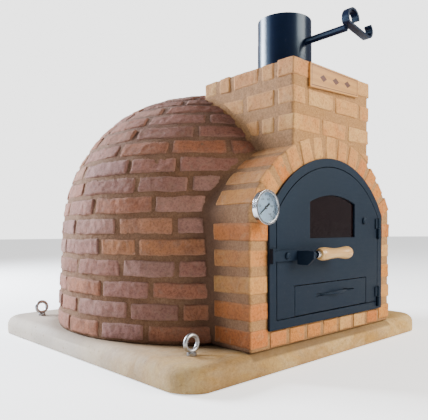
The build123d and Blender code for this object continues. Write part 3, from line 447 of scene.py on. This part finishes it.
def glass_material(name, tint, rough, transmission):
    """Glass with a faint film of smoke and dust."""
    g = Graph(name)
    film = g.noise(40, 5, 0.7, 1.0)
    body = g.mix(g.spread(film, 0.5, 0.8, 0, 0.4), tint, tuple(min(1.0, 1.6 * c) for c in tint[:3]) + (1,))
    smeared = g.spread(film, 0.3, 0.8, rough, rough + 0.12)
    return g.finish(body, smeared, Transmission_Weight=transmission, IOR=1.5)


def dial_material():
    """Printed white dial, slightly yellowed."""
    g = Graph("dial_print")
    stain = g.noise(60, 4, 0.6)
    body = g.mix(g.spread(stain, 0.4, 0.8, 0, 0.4), linear(186, 214, 240), linear(168, 196, 224))
    return g.finish(body, 0.45)


def ink_material():
    """Black print and needle paint."""
    g = Graph("black_ink")
    body = g.mix(g.spread(g.noise(300, 2, 0.5), 0.4, 0.7, 0, 0.5), linear(22, 22, 24), linear(46, 46, 50))
    return g.finish(body, 0.5)


materials = {
    "dome_brick": brick_material(
        "dome_brick_clay",
        [
            linear(128, 86, 74), linear(138, 94, 80), linear(142, 88, 58), linear(130, 94, 88),
            linear(144, 104, 90), linear(152, 100, 62), linear(118, 78, 66), linear(140, 106, 96),
        ],
        linear(126, 100, 84),
        linear(98, 66, 54),
    ),
    "front_brick": brick_material(
        "front_brick_clay",
        [
            linear(196, 124, 54), linear(204, 142, 70), linear(186, 106, 46), linear(210, 160, 96),
            linear(190, 124, 64), linear(202, 134, 56), linear(212, 168, 104), linear(180, 108, 54),
        ],
        linear(190, 154, 108),
        linear(176, 108, 60),
        # painted shade colour, multiplied in on faces turned away from the front
        (0.30, 0.29, 0.38, 1.0),
        linear(196, 162, 112),
    ),
    "mortar": mortar_material("lime_mortar", linear(100, 70, 50), linear(98, 74, 68), linear(166, 124, 78)),
    "cast_slab": slab_material(),
    "refractory": refractory_material(),
    "insulating_board": fibre_material("insulating_board", linear(214, 208, 196)),
    "blanket": fibre_material("ceramic_blanket", linear(228, 226, 220)),
    "satin_steel": painted_steel(
        "satin_stove_paint", linear(6, 16, 32), linear(10, 23, 41), 0.44, 0.6, 0.0
    ),
    "enamelled_steel": painted_steel(
        "navy_enamel", linear(8, 18, 40), linear(13, 26, 52), 0.26, 0.34, 0.12
    ),
    "zinc_steel": plated_steel("zinc_plate", linear(176, 176, 178), 0.25, 0.5),
    "bright_steel": plated_steel("bright_chrome", linear(214, 214, 216), 0.08, 0.25),
    "dial_face": dial_material(),
    "needle_black": ink_material(),
    "dial_glass": glass_material("dial_glass", linear(250, 252, 252), 0.02, 1.0),
    "window_glass": glass_material("smoked_glass", linear(24, 13, 14), 0.06, 0.2),
    "grip_wood": wood_material("varnished_beech", linear(214, 172, 108), linear(190, 140, 80), "x", 0.4),
    "plaque_wood": wood_material("plaque_pine", linear(196, 142, 72), linear(174, 116, 54), "x", 0.2),
    "burnt_mark": wood_material("burnt_mark", linear(92, 48, 30), linear(70, 36, 24), "x", 0.0),
}


def paint(piece, slot):
    piece.data.materials.clear()
    piece.data.materials.append(materials[slot])


# ------------------------------------------------------------------ bricks
def weathered_bricks(node, seed, voxel, roundness, wander):
    """Hand-made bricks from the CAD ones: each a little askew, chipped and with its own tint."""
    rng = random.Random(seed)
    mesh = nodes[node].data.copy()
    mesh.materials.clear()
    scratch = bmesh.new()
    scratch.from_mesh(mesh)
    bmesh.ops.remove_doubles(scratch, verts=scratch.verts, dist=0.00001)
    scratch.to_mesh(mesh)
    scratch.free()
    islands = islands_of(mesh)
    points = points_of(mesh)
    for island in range(islands.max() + 1):
        members = islands == island
        middle = points[members].mean(axis=0)
        tilt = [math.radians(wander * rng.uniform(-1.0, 1.0)) for _ in range(3)]
        about_x, about_y, about_z = (Matrix.Rotation(a, 3, axis) for a, axis in zip(tilt, "XYZ"))
        turn = about_x @ about_y @ about_z
        outward = np.array([middle[0] - OVEN_X, middle[1], 0.0])
        outward *= wander * rng.uniform(-0.5, 0.6) * MM / np.linalg.norm(outward)
        scale = 1 + rng.uniform(-0.02, 0.015)
        points[members] = (points[members] - middle) * scale @ np.array(turn).T + middle + outward
    set_points(mesh, points)
    mesh = remeshed(mesh, voxel)
    points = points_of(mesh)
    points = relaxed(points, edges_of(mesh), roundness)
    points += 2.6 * wander * MM * wobble(points, 60 * MM, seed)
    points += 1.6 * wander * MM * wobble(points, 16 * MM, seed + 5)
    set_points(mesh, points)
    chips = np.clip(bumps(points, 11 * MM, seed + 9) - 0.25, 0, 1)[:, None]
    points -= 2.6 * wander * MM * chips * normals_of(mesh)
    set_points(mesh, points)
    write_brick_attributes(mesh, points, rng)
    shade_smooth(mesh)
    return new_object(node + "_weathered", mesh, "oven", SLOTS[node], node)


def write_brick_attributes(mesh, points, rng):
    """Give each brick a tint, mark how near each point is to its brick's edge, and how far its face turns
    from the front for painted shade.
    """
    islands = islands_of(mesh)
    count = islands.max() + 1
    tints = np.array([rng.random() for _ in range(count)])
    write_attribute(mesh, "tint", tints[islands])
    edges = edges_of(mesh)
    normals = normals_of(mesh)
    bend = 1 - (normals[edges[:, 0]] * normals[edges[:, 1]]).sum(axis=1)
    spread = np.bincount(edges[:, 0], bend, len(points)) + np.bincount(edges[:, 1], bend, len(points))
    for _ in range(2):
        mean = spread[edges].mean(axis=1)
        first_ends = np.bincount(edges[:, 0], mean, len(points))
        second_ends = np.bincount(edges[:, 1], mean, len(points))
        spread = (first_ends + second_ends) / 4
    write_attribute(mesh, "edge", np.clip(spread * 2.2, 0, 1))
    write_attribute(mesh, "side_shade", side_shade_share(points, normals))
    write_attribute(mesh, "pale", np.clip((points[:, 2] - 450 * MM) / (150 * MM), 0, 1))


# ------------------------------------------------------------------ mortar
def dome_radius_and_height(station, inset):
    """The dome's outline: 0 to 1 climbs the wall, 1 to 2 the crown."""
    waist = DOME_WAIST_RADIUS - inset
    if station <= 1:
        foot = DOME_FOOT_RADIUS - inset
        return foot + (waist - foot) * station, SLAB_TOP + (DOME_WAIST_HEIGHT - SLAB_TOP) * station
    angle = (station - 1) * math.pi / 2
    rise = DOME_TOP - inset - DOME_WAIST_HEIGHT
    radius = waist * max(math.cos(angle), 0) ** (2 / DOME_POWER)
    return radius, DOME_WAIST_HEIGHT + rise * math.sin(angle) ** (2 / DOME_POWER)


def arch_points(half_width, radius, foot, steps):
    """(x, z) points up one side of an arch, over it and down to its other foot."""
    spring = math.acos(half_width / radius)
    points = [(half_width, foot)]
    for k in range(steps + 1):
        angle = spring + (math.pi - 2 * spring) * k / steps
        points.append((radius * math.cos(angle), ARCH_CENTRE_Z + radius * math.sin(angle)))
    points.append((-half_width, foot))
    return [(OVEN_X + x, z) for x, z in points]


def inside_arch(x, z, half_width, radius):
    """Whether a point is under an arch."""
    under_curve = z < ARCH_CENTRE_Z or math.hypot(x - OVEN_X, z - ARCH_CENTRE_Z) < radius
    return abs(x - OVEN_X) < half_width and under_curve


def dome_shell_shape(shape, wall):
    """Add a closed shell of the dome, open at the mouth and the flue, to a bmesh."""
    around, up = 180, 90
    stations = [2 * k / up for k in range(up)]
    part = bmesh.new()
    rings = []
    for inset in (DOME_RECESS, DOME_RECESS + wall):
        rows = []
        for station in stations:
            radius, height = dome_radius_and_height(station, inset)
            rows.append([
                part.verts.new((
                    OVEN_X + radius * math.cos(2 * math.pi * k / around),
                    radius * math.sin(2 * math.pi * k / around),
                    height,
                ))
                for k in range(around)
            ])
        rings.append(rows)
    keep = {}
    mouth_half_width = PORCH_HALF_WIDTH - 0.5 * PORCH_WALL
    mouth_radius = PORCH_RADIUS - 0.5 * PORCH_WALL
    for row in range(up - 1):
        for k in range(around):
            corner = rings[0][row][k].co
            in_mouth = corner.y < 0 and inside_arch(corner.x, corner.z, mouth_half_width, mouth_radius)
            in_flue = math.hypot(corner.x - FLUE_AXIS.x, corner.y - FLUE_AXIS.y) < 100 * MM
            keep[row, k] = not (in_mouth or in_flue)
    for (row, k), wanted in keep.items():
        if not wanted:
            continue
        after = (k + 1) % around
        outer = (rings[0][row][k], rings[0][row][after], rings[0][row + 1][after], rings[0][row + 1][k])
        inner = (rings[1][row][k], rings[1][row][after], rings[1][row + 1][after], rings[1][row + 1][k])
        part.faces.new(outer)
        part.faces.new(reversed(inner))
        sides = (
            ((row - 1, k), 0, 1),
            ((row, after), 1, 2),
            ((row + 1, k), 2, 3),
            ((row, (k - 1) % around), 3, 0),
        )
        for neighbour, a, b in sides:
            if row == up - 2 and neighbour[0] == up - 1:
                continue
            if not keep.get(neighbour, False):
                part.faces.new((outer[b], outer[a], inner[a], inner[b]))
    part.faces.new(rings[0][-1])
    part.faces.new(reversed(rings[1][-1]))
    bmesh.ops.recalc_face_normals(part, faces=part.faces)
    append_shape(shape, part)


def append_shape(shape, part):
    """Copy one bmesh into another and free it."""
    scratch = bpy.data.meshes.new("scratch")
    part.to_mesh(scratch)
    part.free()
    shape.from_mesh(scratch)
    bpy.data.meshes.remove(scratch)


def ring_prism(shape, outer, inner, front, back):
    """Add a prism between two outlines with the same number of points to a bmesh."""
    part = bmesh.new()
    loops = [[part.verts.new((x, y, z)) for x, z in line] for y in (front, back) for line in (outer, inner)]
    front_outer, front_inner, back_outer, back_inner = loops
    for k in range(len(outer) - 1):
        part.faces.new((front_outer[k], front_outer[k + 1], front_inner[k + 1], front_inner[k]))
        part.faces.new((back_outer[k], back_inner[k], back_inner[k + 1], back_outer[k + 1]))
        part.faces.new((front_outer[k], back_outer[k], back_outer[k + 1], front_outer[k + 1]))
        part.faces.new((front_inner[k], front_inner[k + 1], back_inner[k + 1], back_inner[k]))
    for k in (0, len(outer) - 1):
        part.faces.new((front_outer[k], front_inner[k], back_inner[k], back_outer[k]))
    bmesh.ops.recalc_face_normals(part, faces=part.faces)
    append_shape(shape, part)


def block(shape, low, high):
    """Add a box to a bmesh."""
    part = bmesh.new()
    bmesh.ops.create_cube(part, size=1)
    for vertex in part.verts:
        vertex.co = [low[i] + (vertex.co[i] + 0.5) * (high[i] - low[i]) for i in range(3)]
    append_shape(shape, part)


def stack_shape(shape):
    """Add the stack's core, with the flue through it, to a bmesh."""
    low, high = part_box("stack_bricks")
    low = Vector((low.x + FRONT_RECESS, low.y + FRONT_RECESS, 480 * MM))
    high = Vector((high.x - FRONT_RECESS, high.y - FRONT_RECESS, high.z))
    flue_radius = (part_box("flue_pipe")[1].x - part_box("flue_pipe")[0].x) / 2 - 1 * MM
    steps = 64
    part = bmesh.new()
    corners = []
    for height in (low.z, high.z):
        hole = []
        rim = []
        for k in range(steps):
            angle = 2 * math.pi * (k + 0.5) / steps
            across, along = math.cos(angle), math.sin(angle)
            x = FLUE_AXIS.x + flue_radius * across
            y = FLUE_AXIS.y + flue_radius * along
            hole.append(part.verts.new((x, y, height)))
            reach = min(
                ((high.x if across > 0 else low.x) - FLUE_AXIS.x) / across,
                ((high.y if along > 0 else low.y) - FLUE_AXIS.y) / along,
            )
            rim.append(part.verts.new((FLUE_AXIS.x + reach * across, FLUE_AXIS.y + reach * along, height)))
        for x in (low.x, high.x):
            for y in (low.y, high.y):
                nearest = min(rim, key=lambda vertex: math.hypot(vertex.co.x - x, vertex.co.y - y))
                nearest.co = (x, y, height)
        corners.append((hole, rim))
    (low_hole, low_rim), (high_hole, high_rim) = corners
    for k in range(steps):
        after = (k + 1) % steps
        part.faces.new((low_hole[k], low_hole[after], low_rim[after], low_rim[k]))
        part.faces.new((high_hole[k], high_rim[k], high_rim[after], high_hole[after]))
        part.faces.new((low_rim[k], low_rim[after], high_rim[after], high_rim[k]))
        part.faces.new((low_hole[k], high_hole[k], high_hole[after], low_hole[after]))
    bmesh.ops.recalc_face_normals(part, faces=part.faces)
    append_shape(shape, part)


def masonry_mortar():
    """All the mortar as one body, with soft fillets where the dome, porch and stack meet."""
    shape = bmesh.new()
    dome_shell_shape(shape, 16 * MM)
    steps = 48
    outer = arch_points(PORCH_HALF_WIDTH - FRONT_RECESS, PORCH_RADIUS - ARCH_RECESS, SLAB_TOP, steps)
    inner = arch_points(PORCH_HALF_WIDTH - PORCH_WALL, PORCH_RADIUS - PORCH_WALL, SLAB_TOP, steps)
    ring_prism(shape, outer, inner, FRONT_Y + FRONT_RECESS, -330 * MM)
    sill_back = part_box("sill_bricks")[1].y
    block(
        shape,
        (OVEN_X - PORCH_HALF_WIDTH + 20 * MM, FRONT_Y + FRONT_RECESS, SLAB_TOP),
        (OVEN_X + PORCH_HALF_WIDTH - 20 * MM, sill_back, SILL_TOP - 1 * MM),
    )
    stack_shape(shape)
    mesh = bpy.data.meshes.new("mortar")
    shape.to_mesh(mesh)
    shape.free()
    mesh = remeshed(mesh, 4 * MM)
    points = relaxed(points_of(mesh), edges_of(mesh), 2)
    hollow = crease_at(points)
    points += hollow[:, None] * (relaxed(points, edges_of(mesh), 60) - points)
    set_points(mesh, points)
    front = front_share(points)
    lumps = (1.3 * bumps(points, 38 * MM, 3) + 0.8 * bumps(points, 11 * MM, 8)) * (1 - 0.55 * front)
    points += MM * lumps[:, None] * normals_of(mesh)
    points[:, 2] = np.maximum(points[:, 2], SLAB_TOP + 0.3 * MM)
    set_points(mesh, points)
    write_attribute(mesh, "lift", np.clip((points[:, 2] - 0.5) / 0.2, 0, 1))
    # faces turned away from the front keep the browner dome colour in place of the tan front colour, a
    # painted shade
    write_attribute(mesh, "front", front * (1 - side_shade_share(points, normals_of(mesh))))
    # painted crease shade with stain at the porch, darker along the foot
    write_attribute(mesh, "stain", shade_and_stain_at(points))
    shade_smooth(mesh)
    return new_object(
        "masonry_mortar", mesh, "oven", SLOTS["dome_mortar"], "dome_mortar", "porch_mortar", "stack_mortar"
    )


PORCH_FROM_Y = -340 * MM  # front_share rises from here forwards
STACK_FROM_Z = 540 * MM  # and, between the stack's sides, from here upwards


def front_share(points):
    """1 on the porch and stack, 0 on the dome."""
    low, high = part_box("stack_bricks")
    near_front = np.clip((PORCH_FROM_Y - points[:, 1]) / (60 * MM), 0, 1)
    margin = 10 * MM
    between_sides = (points[:, 0] > low.x - margin) * (points[:, 0] < high.x + margin)
    on_stack = between_sides * (points[:, 1] < high.y + margin)
    high_up = np.clip((points[:, 2] - STACK_FROM_Z) / (40 * MM), 0, 1)
    return np.maximum(near_front, on_stack * high_up)


def side_shade_share(points, normals):
    """How far a face turns away from the front, where painted shade darkens it, most of all low down."""
    turned = np.clip(1.15 - 1.5 * np.abs(normals[:, 1]), 0, 1)
    high_up = np.clip((points[:, 2] - 330 * MM) / (300 * MM), 0, 1)
    return turned * (0.9 - 0.45 * high_up)


def crease_at(points):
    """1 in the corner where the dome's outside meets the porch or the stack."""
    across = np.abs(points[:, 0] - OVEN_X)
    rise = np.maximum(points[:, 2] - ARCH_CENTRE_Z, 0)
    porch_gap = np.where(rise > 0, np.hypot(across, rise) - PORCH_RADIUS, across - PORCH_HALF_WIDTH)
    low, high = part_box("stack_bricks")
    stack_gap = np.maximum(
        np.maximum(low.x - points[:, 0], points[:, 0] - high.x), points[:, 1] - high.y
    )
    stack_gap = np.where(points[:, 2] > 500 * MM, stack_gap, 1.0)
    radius = np.hypot(points[:, 0] - OVEN_X, points[:, 1])
    share = np.clip((points[:, 2] - DOME_WAIST_HEIGHT) / (DOME_TOP - DOME_WAIST_HEIGHT), 0, 0.999)
    dome_gap = radius - DOME_WAIST_RADIUS * (1 - share**DOME_POWER) ** (1 / DOME_POWER)
    corner = np.hypot(np.minimum(np.abs(porch_gap), np.abs(stack_gap)), dome_gap)
    return np.clip(1.5 - corner / (11 * MM), 0, 1)


def shade_and_stain_at(points):
    """Painted crease shade together with stain, strongest where the dome runs into the porch, and darkening
    along the foot.
    """
    radius = np.hypot(points[:, 0] - OVEN_X, points[:, 1])
    across = np.abs(np.abs(points[:, 0] - OVEN_X) - PORCH_HALF_WIDTH) / (60 * MM)
    along = np.abs(points[:, 1] + 350 * MM) / (55 * MM)
    crease = np.exp(-(across**2 + along**2)) * (points[:, 2] < 480 * MM)
    foot = np.exp(-(points[:, 2] - SLAB_TOP) / (14 * MM))
    return np.clip(0.9 * crease + 0.35 * foot, 0, 1) * (radius > 0.3)


# ------------------------------------------------------------------ slab
# middle and reach of the painted shade at the slab's front-left corner
SHADED_CORNER = (-0.40, -0.46)
CORNER_SHADE_RADIUS = 0.20


def floated_slab():
    """The slab as a hand-floated casting: soft edges and slight hollows."""
    low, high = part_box("base_slab")
    mesh = nodes["base_slab"].data.copy()
    mesh.materials.clear()
    mesh = remeshed(mesh, 6 * MM)
    points = relaxed(points_of(mesh), edges_of(mesh), 4)
    set_points(mesh, points)
    normals = normals_of(mesh)
    lumps = 2.2 * bumps(points, 170 * MM, 2) + 1.0 * bumps(points, 45 * MM, 7)
    above = np.clip(points[:, 2] / (20 * MM), 0, 1)
    points += MM * (lumps * above - 1.2)[:, None] * normals * [1, 1, 0.5]
    points[:, 2] = np.clip(points[:, 2], 0.0, high.z)
    set_points(mesh, points)
    # painted contact shade in a ring round the dome's foot and along the porch front, and painted shade at
    # the front-left corner, stored as stain
    radius = np.hypot(points[:, 0] - OVEN_X, points[:, 1])
    ring = np.exp(-((radius - DOME_FOOT_RADIUS) / (26 * MM)) ** 2) * (points[:, 2] > 40 * MM)
    before_porch = np.abs(points[:, 0] - OVEN_X) < PORCH_HALF_WIDTH
    porch = np.exp(-((points[:, 1] - FRONT_Y) / (16 * MM)) ** 2) * before_porch
    from_corner = np.hypot(points[:, 0] - SHADED_CORNER[0], points[:, 1] - SHADED_CORNER[1])
    corner = np.exp(-((from_corner / CORNER_SHADE_RADIUS) ** 2))
    stain = 0.8 * ring + 0.8 * porch * (points[:, 2] > 40 * MM) + 0.7 * corner
    write_attribute(mesh, "stain", np.clip(stain, 0, 1))
    # painted cool light on the slab's left and back, stored as pale
    painted_cool_light = np.clip(0.35 - points[:, 0] * 1.6, 0, 1) * np.clip((points[:, 1] + 0.45) / 0.45, 0, 1)
    write_attribute(mesh, "pale", painted_cool_light)
    shade_smooth(mesh)
    return new_object("floated_slab", mesh, "oven", SLOTS["base_slab"], "base_slab")


# ------------------------------------------------------------------ metalwork, glass and wood
def finished(node, bevel, segments=2, angle=35):
    """Copy of a CAD node with its sharp edges eased, which catches the light as on real pieces."""
    mesh = nodes[node].data.copy()
    mesh.materials.clear()
    scratch = bmesh.new()
    scratch.from_mesh(mesh)
    bmesh.ops.remove_doubles(scratch, verts=scratch.verts, dist=0.000005)
    bmesh.ops.dissolve_limit(
        scratch, angle_limit=math.radians(0.5), verts=scratch.verts, edges=scratch.edges
    )
    scratch.to_mesh(mesh)
    scratch.free()
    piece = new_object(node + "_finished", mesh, BODY_OF[node], SLOTS[node], node)
    modifier = piece.modifiers.new("eased", "BEVEL")
    modifier.width = bevel
    modifier.segments = segments
    modifier.limit_method = "ANGLE"
    modifier.angle_limit = math.radians(angle)
    weighted = piece.modifiers.new("flat_faces", "WEIGHTED_NORMAL")
    weighted.weight = 100
    weighted.keep_sharp = True
    shade_smooth(piece.data)
    apply_modifiers(piece)
    paint(piece, SLOTS[node])
    return piece


BEVELS = {
    "door_frame": 0.9, "door_leaf": 0.7, "drawer_front": 0.7, "drawer_tray": 0.3, "drawer_pull": 0.8,
    "drawer_guides": 0.4, "window_retainer": 0.5, "hinge_frame_halves": 0.7, "hinge_leaf_halves": 0.7,
    "hinge_pins": 0.5, "latch_keeper": 0.8, "latch_strap": 0.7, "latch_arm": 1.5, "latch_ferrule": 0.6,
    "latch_washer": 0.4, "latch_pivot_bolt": 0.6, "blanking_bolt": 0.6, "damper_rod": 0.8,
    "damper_plate": 0.5, "damper_scroll": 0.8, "flue_pipe": 0.5, "plaque": 0.8, "thermometer_case": 0.5,
    "thermometer_bezel": 0.5, "hearth_tiles": 1.5, "threshold_slab": 2.0, "window_glass": 0.5,
}

mortar = masonry_mortar()
paint(mortar, "mortar")
for node, seed, voxel, roundness, wander in (
    ("dome_bricks", 11, 4.0, 2, 1.0), ("pier_bricks", 23, 3.0, 2, 0.5), ("arch_bricks", 37, 3.0, 2, 0.5),
    ("sill_bricks", 41, 3.0, 2, 0.5), ("stack_bricks", 53, 3.0, 2, 0.5),
):
    paint(weathered_bricks(node, seed, voxel * MM, roundness, wander), SLOTS[node])
paint(floated_slab(), "cast_slab")
for node, bevel in BEVELS.items():
    finished(node, bevel * MM)
REPLACED = {"dome_mortar", "porch_mortar", "stack_mortar", "base_slab", *BEVELS}
REPLACED |= {"dome_bricks", "pier_bricks", "arch_bricks", "sill_bricks", "stack_bricks"}
for name, node in nodes.items():
    if name not in REPLACED:
        node.data.materials.clear()
        node.data.materials.append(materials[SLOTS[name]])

# ------------------------------------------------------------------ dial print and plaque border
SPINDLE_LENGTH = 3 * MM
PRINT_LIFT = 0.1 * MM
TICKS = 50
SCALE_START = 225  # degrees, at the lower left, from where the scale runs clockwise
SCALE_SWEEP = 270
TICK_OUTER = 31 * MM
NUMBER_RADIUS = 20 * MM
NUMBER_SIZE = 6.5 * MM
PLAQUE_CORNERS = [
    (-105 * MM, 676 * MM),
    (111 * MM, 688 * MM),
    (112 * MM, 735.5 * MM),
    (-104 * MM, 735.5 * MM),
]
DIAMOND_HALF_WIDTH = 15 * MM
DIAMOND_HALF_HEIGHT = 9 * MM


def flat_shape(outlines, front):
    """Mesh of flat outlines standing upright, given as (x, z) points in metres."""
    shape = bmesh.new()
    for outline in outlines:
        shape.faces.new([shape.verts.new((x, front, z)) for x, z in outline])
    mesh = bpy.data.meshes.new("flat_shape")
    shape.to_mesh(mesh)
    shape.free()
    return mesh


def dial_print():
    """Scale of the thermometer: a ring of ticks and plain numbers."""
    low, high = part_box("thermometer_dial")
    centre = (low + high) / 2
    front = low.y + (SPINDLE_LENGTH - PRINT_LIFT)
    outlines = []
    for step in range(TICKS + 1):
        angle = math.radians(SCALE_START - SCALE_SWEEP * step / TICKS)
        main = step % 5 == 0
        inner, half = (25 * MM, 0.55 * MM) if main else (27.5 * MM, 0.3 * MM)
        along, across = (math.cos(angle), math.sin(angle)), (-math.sin(angle), math.cos(angle))
        outlines.append([
            (centre.x + r * along[0] + w * across[0], centre.z + r * along[1] + w * across[1])
            for r, w in ((inner, half), (inner, -half), (TICK_OUTER, -half), (TICK_OUTER, half))
        ])
    mesh = flat_shape(outlines, front)
    paint(new_object("dial_ticks", mesh, "oven", SLOTS["thermometer_needle"]), "needle_black")
    for step in range(0, TICKS + 1, 10):
        angle = math.radians(SCALE_START - SCALE_SWEEP * step / TICKS)
        curve = bpy.data.curves.new("dial_number", "FONT")
        curve.body = str(step * 10)
        curve.size = NUMBER_SIZE
        curve.align_x = "CENTER"
        curve.align_y = "CENTER"
        writer = bpy.data.objects.new("dial_number", curve)
        bpy.context.scene.collection.objects.link(writer)
        bpy.context.view_layer.update()
        depsgraph = bpy.context.evaluated_depsgraph_get()
        number = bpy.data.meshes.new_from_object(writer.evaluated_get(depsgraph))
        bpy.data.objects.remove(writer)
        x = centre.x + NUMBER_RADIUS * math.cos(angle)
        z = centre.z + NUMBER_RADIUS * math.sin(angle)
        place = Vector((x, front, z))
        number.transform(Matrix.Translation(place) @ Matrix.Rotation(math.radians(90), 4, "X"))
        piece = new_object(f"dial_number_{step}", number, "oven", SLOTS["thermometer_needle"])
        paint(piece, "needle_black")


def plaque_border():
    """Burnt line round the plaque and three plain diamonds, in place of any name."""
    foot_left, foot_right = PLAQUE_CORNERS[:2]
    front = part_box("plaque")[0].y - PRINT_LIFT
    middle = (sum(x for x, z in PLAQUE_CORNERS) / 4, sum(z for x, z in PLAQUE_CORNERS) / 4)

    def drawn_in(corner, share):
        return tuple(m + share[k] * (c - m) for k, (c, m) in enumerate(zip(corner, middle)))

    outlines = []
    for first, second in zip(PLAQUE_CORNERS, PLAQUE_CORNERS[1:] + PLAQUE_CORNERS[:1]):
        outer, inner = (0.95, 0.84), (0.935, 0.78)
        outlines.append([
            drawn_in(first, outer), drawn_in(second, outer), drawn_in(second, inner), drawn_in(first, inner)
        ])
    for offset in (-0.5, 0.0, 0.5):
        x = middle[0] + offset * (foot_right[0] - foot_left[0]) / 2
        z = middle[1] + offset * (foot_right[1] - foot_left[1]) / 2
        outlines.append([
            (x - DIAMOND_HALF_WIDTH, z),
            (x, z - DIAMOND_HALF_HEIGHT),
            (x + DIAMOND_HALF_WIDTH, z),
            (x, z + DIAMOND_HALF_HEIGHT),
        ])
    mesh = flat_shape(outlines, front)
    paint(new_object("plaque_border", mesh, "oven", SLOTS["plaque"]), "burnt_mark")


dial_print()
plaque_border()

# ------------------------------------------------------------------ stage, light and camera
FLOOR_RADIUS = 30
FLOOR_GLOW = 1.1  # seen by the camera only, keeps the far floor as pale as the near floor
SKY_STRENGTH = 0.26
BACKDROP_STRENGTH = 3.0  # seen by the camera only, in place of the sky


def stage_floor():
    """Plain pale floor."""
    shape = bmesh.new()
    bmesh.ops.create_circle(shape, cap_ends=True, radius=FLOOR_RADIUS, segments=96)
    mesh = bpy.data.meshes.new("stage_floor")
    shape.to_mesh(mesh)
    shape.free()
    floor = bpy.data.objects.new("stage_floor", mesh)
    bpy.context.scene.collection.objects.link(floor)
    g = Graph("stage_paint")
    cloud = g.spread(g.noise(1.5, 3, 0.5), 0.3, 0.7, 0, 0.3)
    body = g.mix(cloud, linear(250, 250, 249), linear(246, 246, 245))
    floor.data.materials.append(g.finish(body, 0.9, Specular_IOR_Level=0.1))
    seen = g.math("MULTIPLY", g.add("ShaderNodeLightPath").outputs["Is Camera Ray"], FLOOR_GLOW)
    g.link(seen, g.shader.inputs["Emission Strength"])
    g.shader.inputs["Emission Color"].default_value = (1.0, 1.0, 1.0, 1.0)
    floor.location.z = -0.0005


def area_light(name, place, target, size, power, colour):
    """Soft box at a place, pointed at a target."""
    light = bpy.data.lights.new(name, "AREA")
    light.shape = "RECTANGLE"
    light.size, light.size_y = size
    light.energy = power
    light.color = colour
    holder = bpy.data.objects.new(name, light)
    bpy.context.scene.collection.objects.link(holder)
    holder.location = place
    holder.rotation_euler = (Vector(target) - Vector(place)).to_track_quat("-Z", "Y").to_euler()


stage_floor()
area_light("key", (1.5, -3.6, 2.3), (0.0, -0.4, 0.4), (2.6, 2.6), 300, (1.0, 0.93, 0.84))
area_light("rim", (-1.7, 3.2, 1.9), (0.0, 0.0, 0.45), (1.6, 1.6), 720, (0.84, 0.90, 1.0))
area_light("pipe_strip", (-2.8, 1.3, 1.3), (0.0, -0.3, 0.85), (0.16, 2.2), 14, (0.62, 0.80, 1.0))
world = bpy.data.worlds.new("studio")
world.use_nodes = True
tree = world.node_tree
background = tree.nodes["Background"]
background.inputs["Color"].default_value = (0.95, 0.96, 1.0, 1.0)
background.inputs["Strength"].default_value = SKY_STRENGTH
backdrop = tree.nodes.new("ShaderNodeBackground")
backdrop.inputs["Color"].default_value = (1.0, 1.0, 1.0, 1.0)
backdrop.inputs["Strength"].default_value = BACKDROP_STRENGTH
chooser = tree.nodes.new("ShaderNodeMixShader")
rays = tree.nodes.new("ShaderNodeLightPath")
tree.links.new(rays.outputs["Is Camera Ray"], chooser.inputs["Fac"])
tree.links.new(background.outputs["Background"], chooser.inputs[1])
tree.links.new(backdrop.outputs["Background"], chooser.inputs[2])
tree.links.new(chooser.outputs["Shader"], tree.nodes["World Output"].inputs["Surface"])
bpy.context.scene.world = world

LENS = 41.7903  # millimetres, on a sensor 36 mm wide
SENSOR = 36
SHIFT = (-0.021308, 0.101963)
CAMERA_PLACE = Vector((-1101.08, -1218.85, 325.10)) * MM
YAW, PITCH, ROLL = 0.7632, -0.0431, -0.0071


def studio_camera():
    """Camera low at the left of the door."""
    forward = Vector((math.sin(YAW) * math.cos(PITCH), math.cos(YAW) * math.cos(PITCH), math.sin(PITCH)))
    right = Vector((math.cos(YAW), -math.sin(YAW), 0))
    up = right.cross(forward)
    right, up = (
        math.cos(ROLL) * right + math.sin(ROLL) * up,
        -math.sin(ROLL) * right + math.cos(ROLL) * up,
    )
    data = bpy.data.cameras.new("camera")
    data.sensor_width = SENSOR
    data.lens = LENS
    data.shift_x, data.shift_y = SHIFT
    data.clip_end = 100
    holder = bpy.data.objects.new("camera", data)
    bpy.context.scene.collection.objects.link(holder)
    holder.matrix_world = Matrix((
        (right.x, up.x, -forward.x, CAMERA_PLACE.x),
        (right.y, up.y, -forward.y, CAMERA_PLACE.y),
        (right.z, up.z, -forward.z, CAMERA_PLACE.z),
        (0, 0, 0, 1),
    ))
    bpy.context.scene.camera = holder


studio_camera()
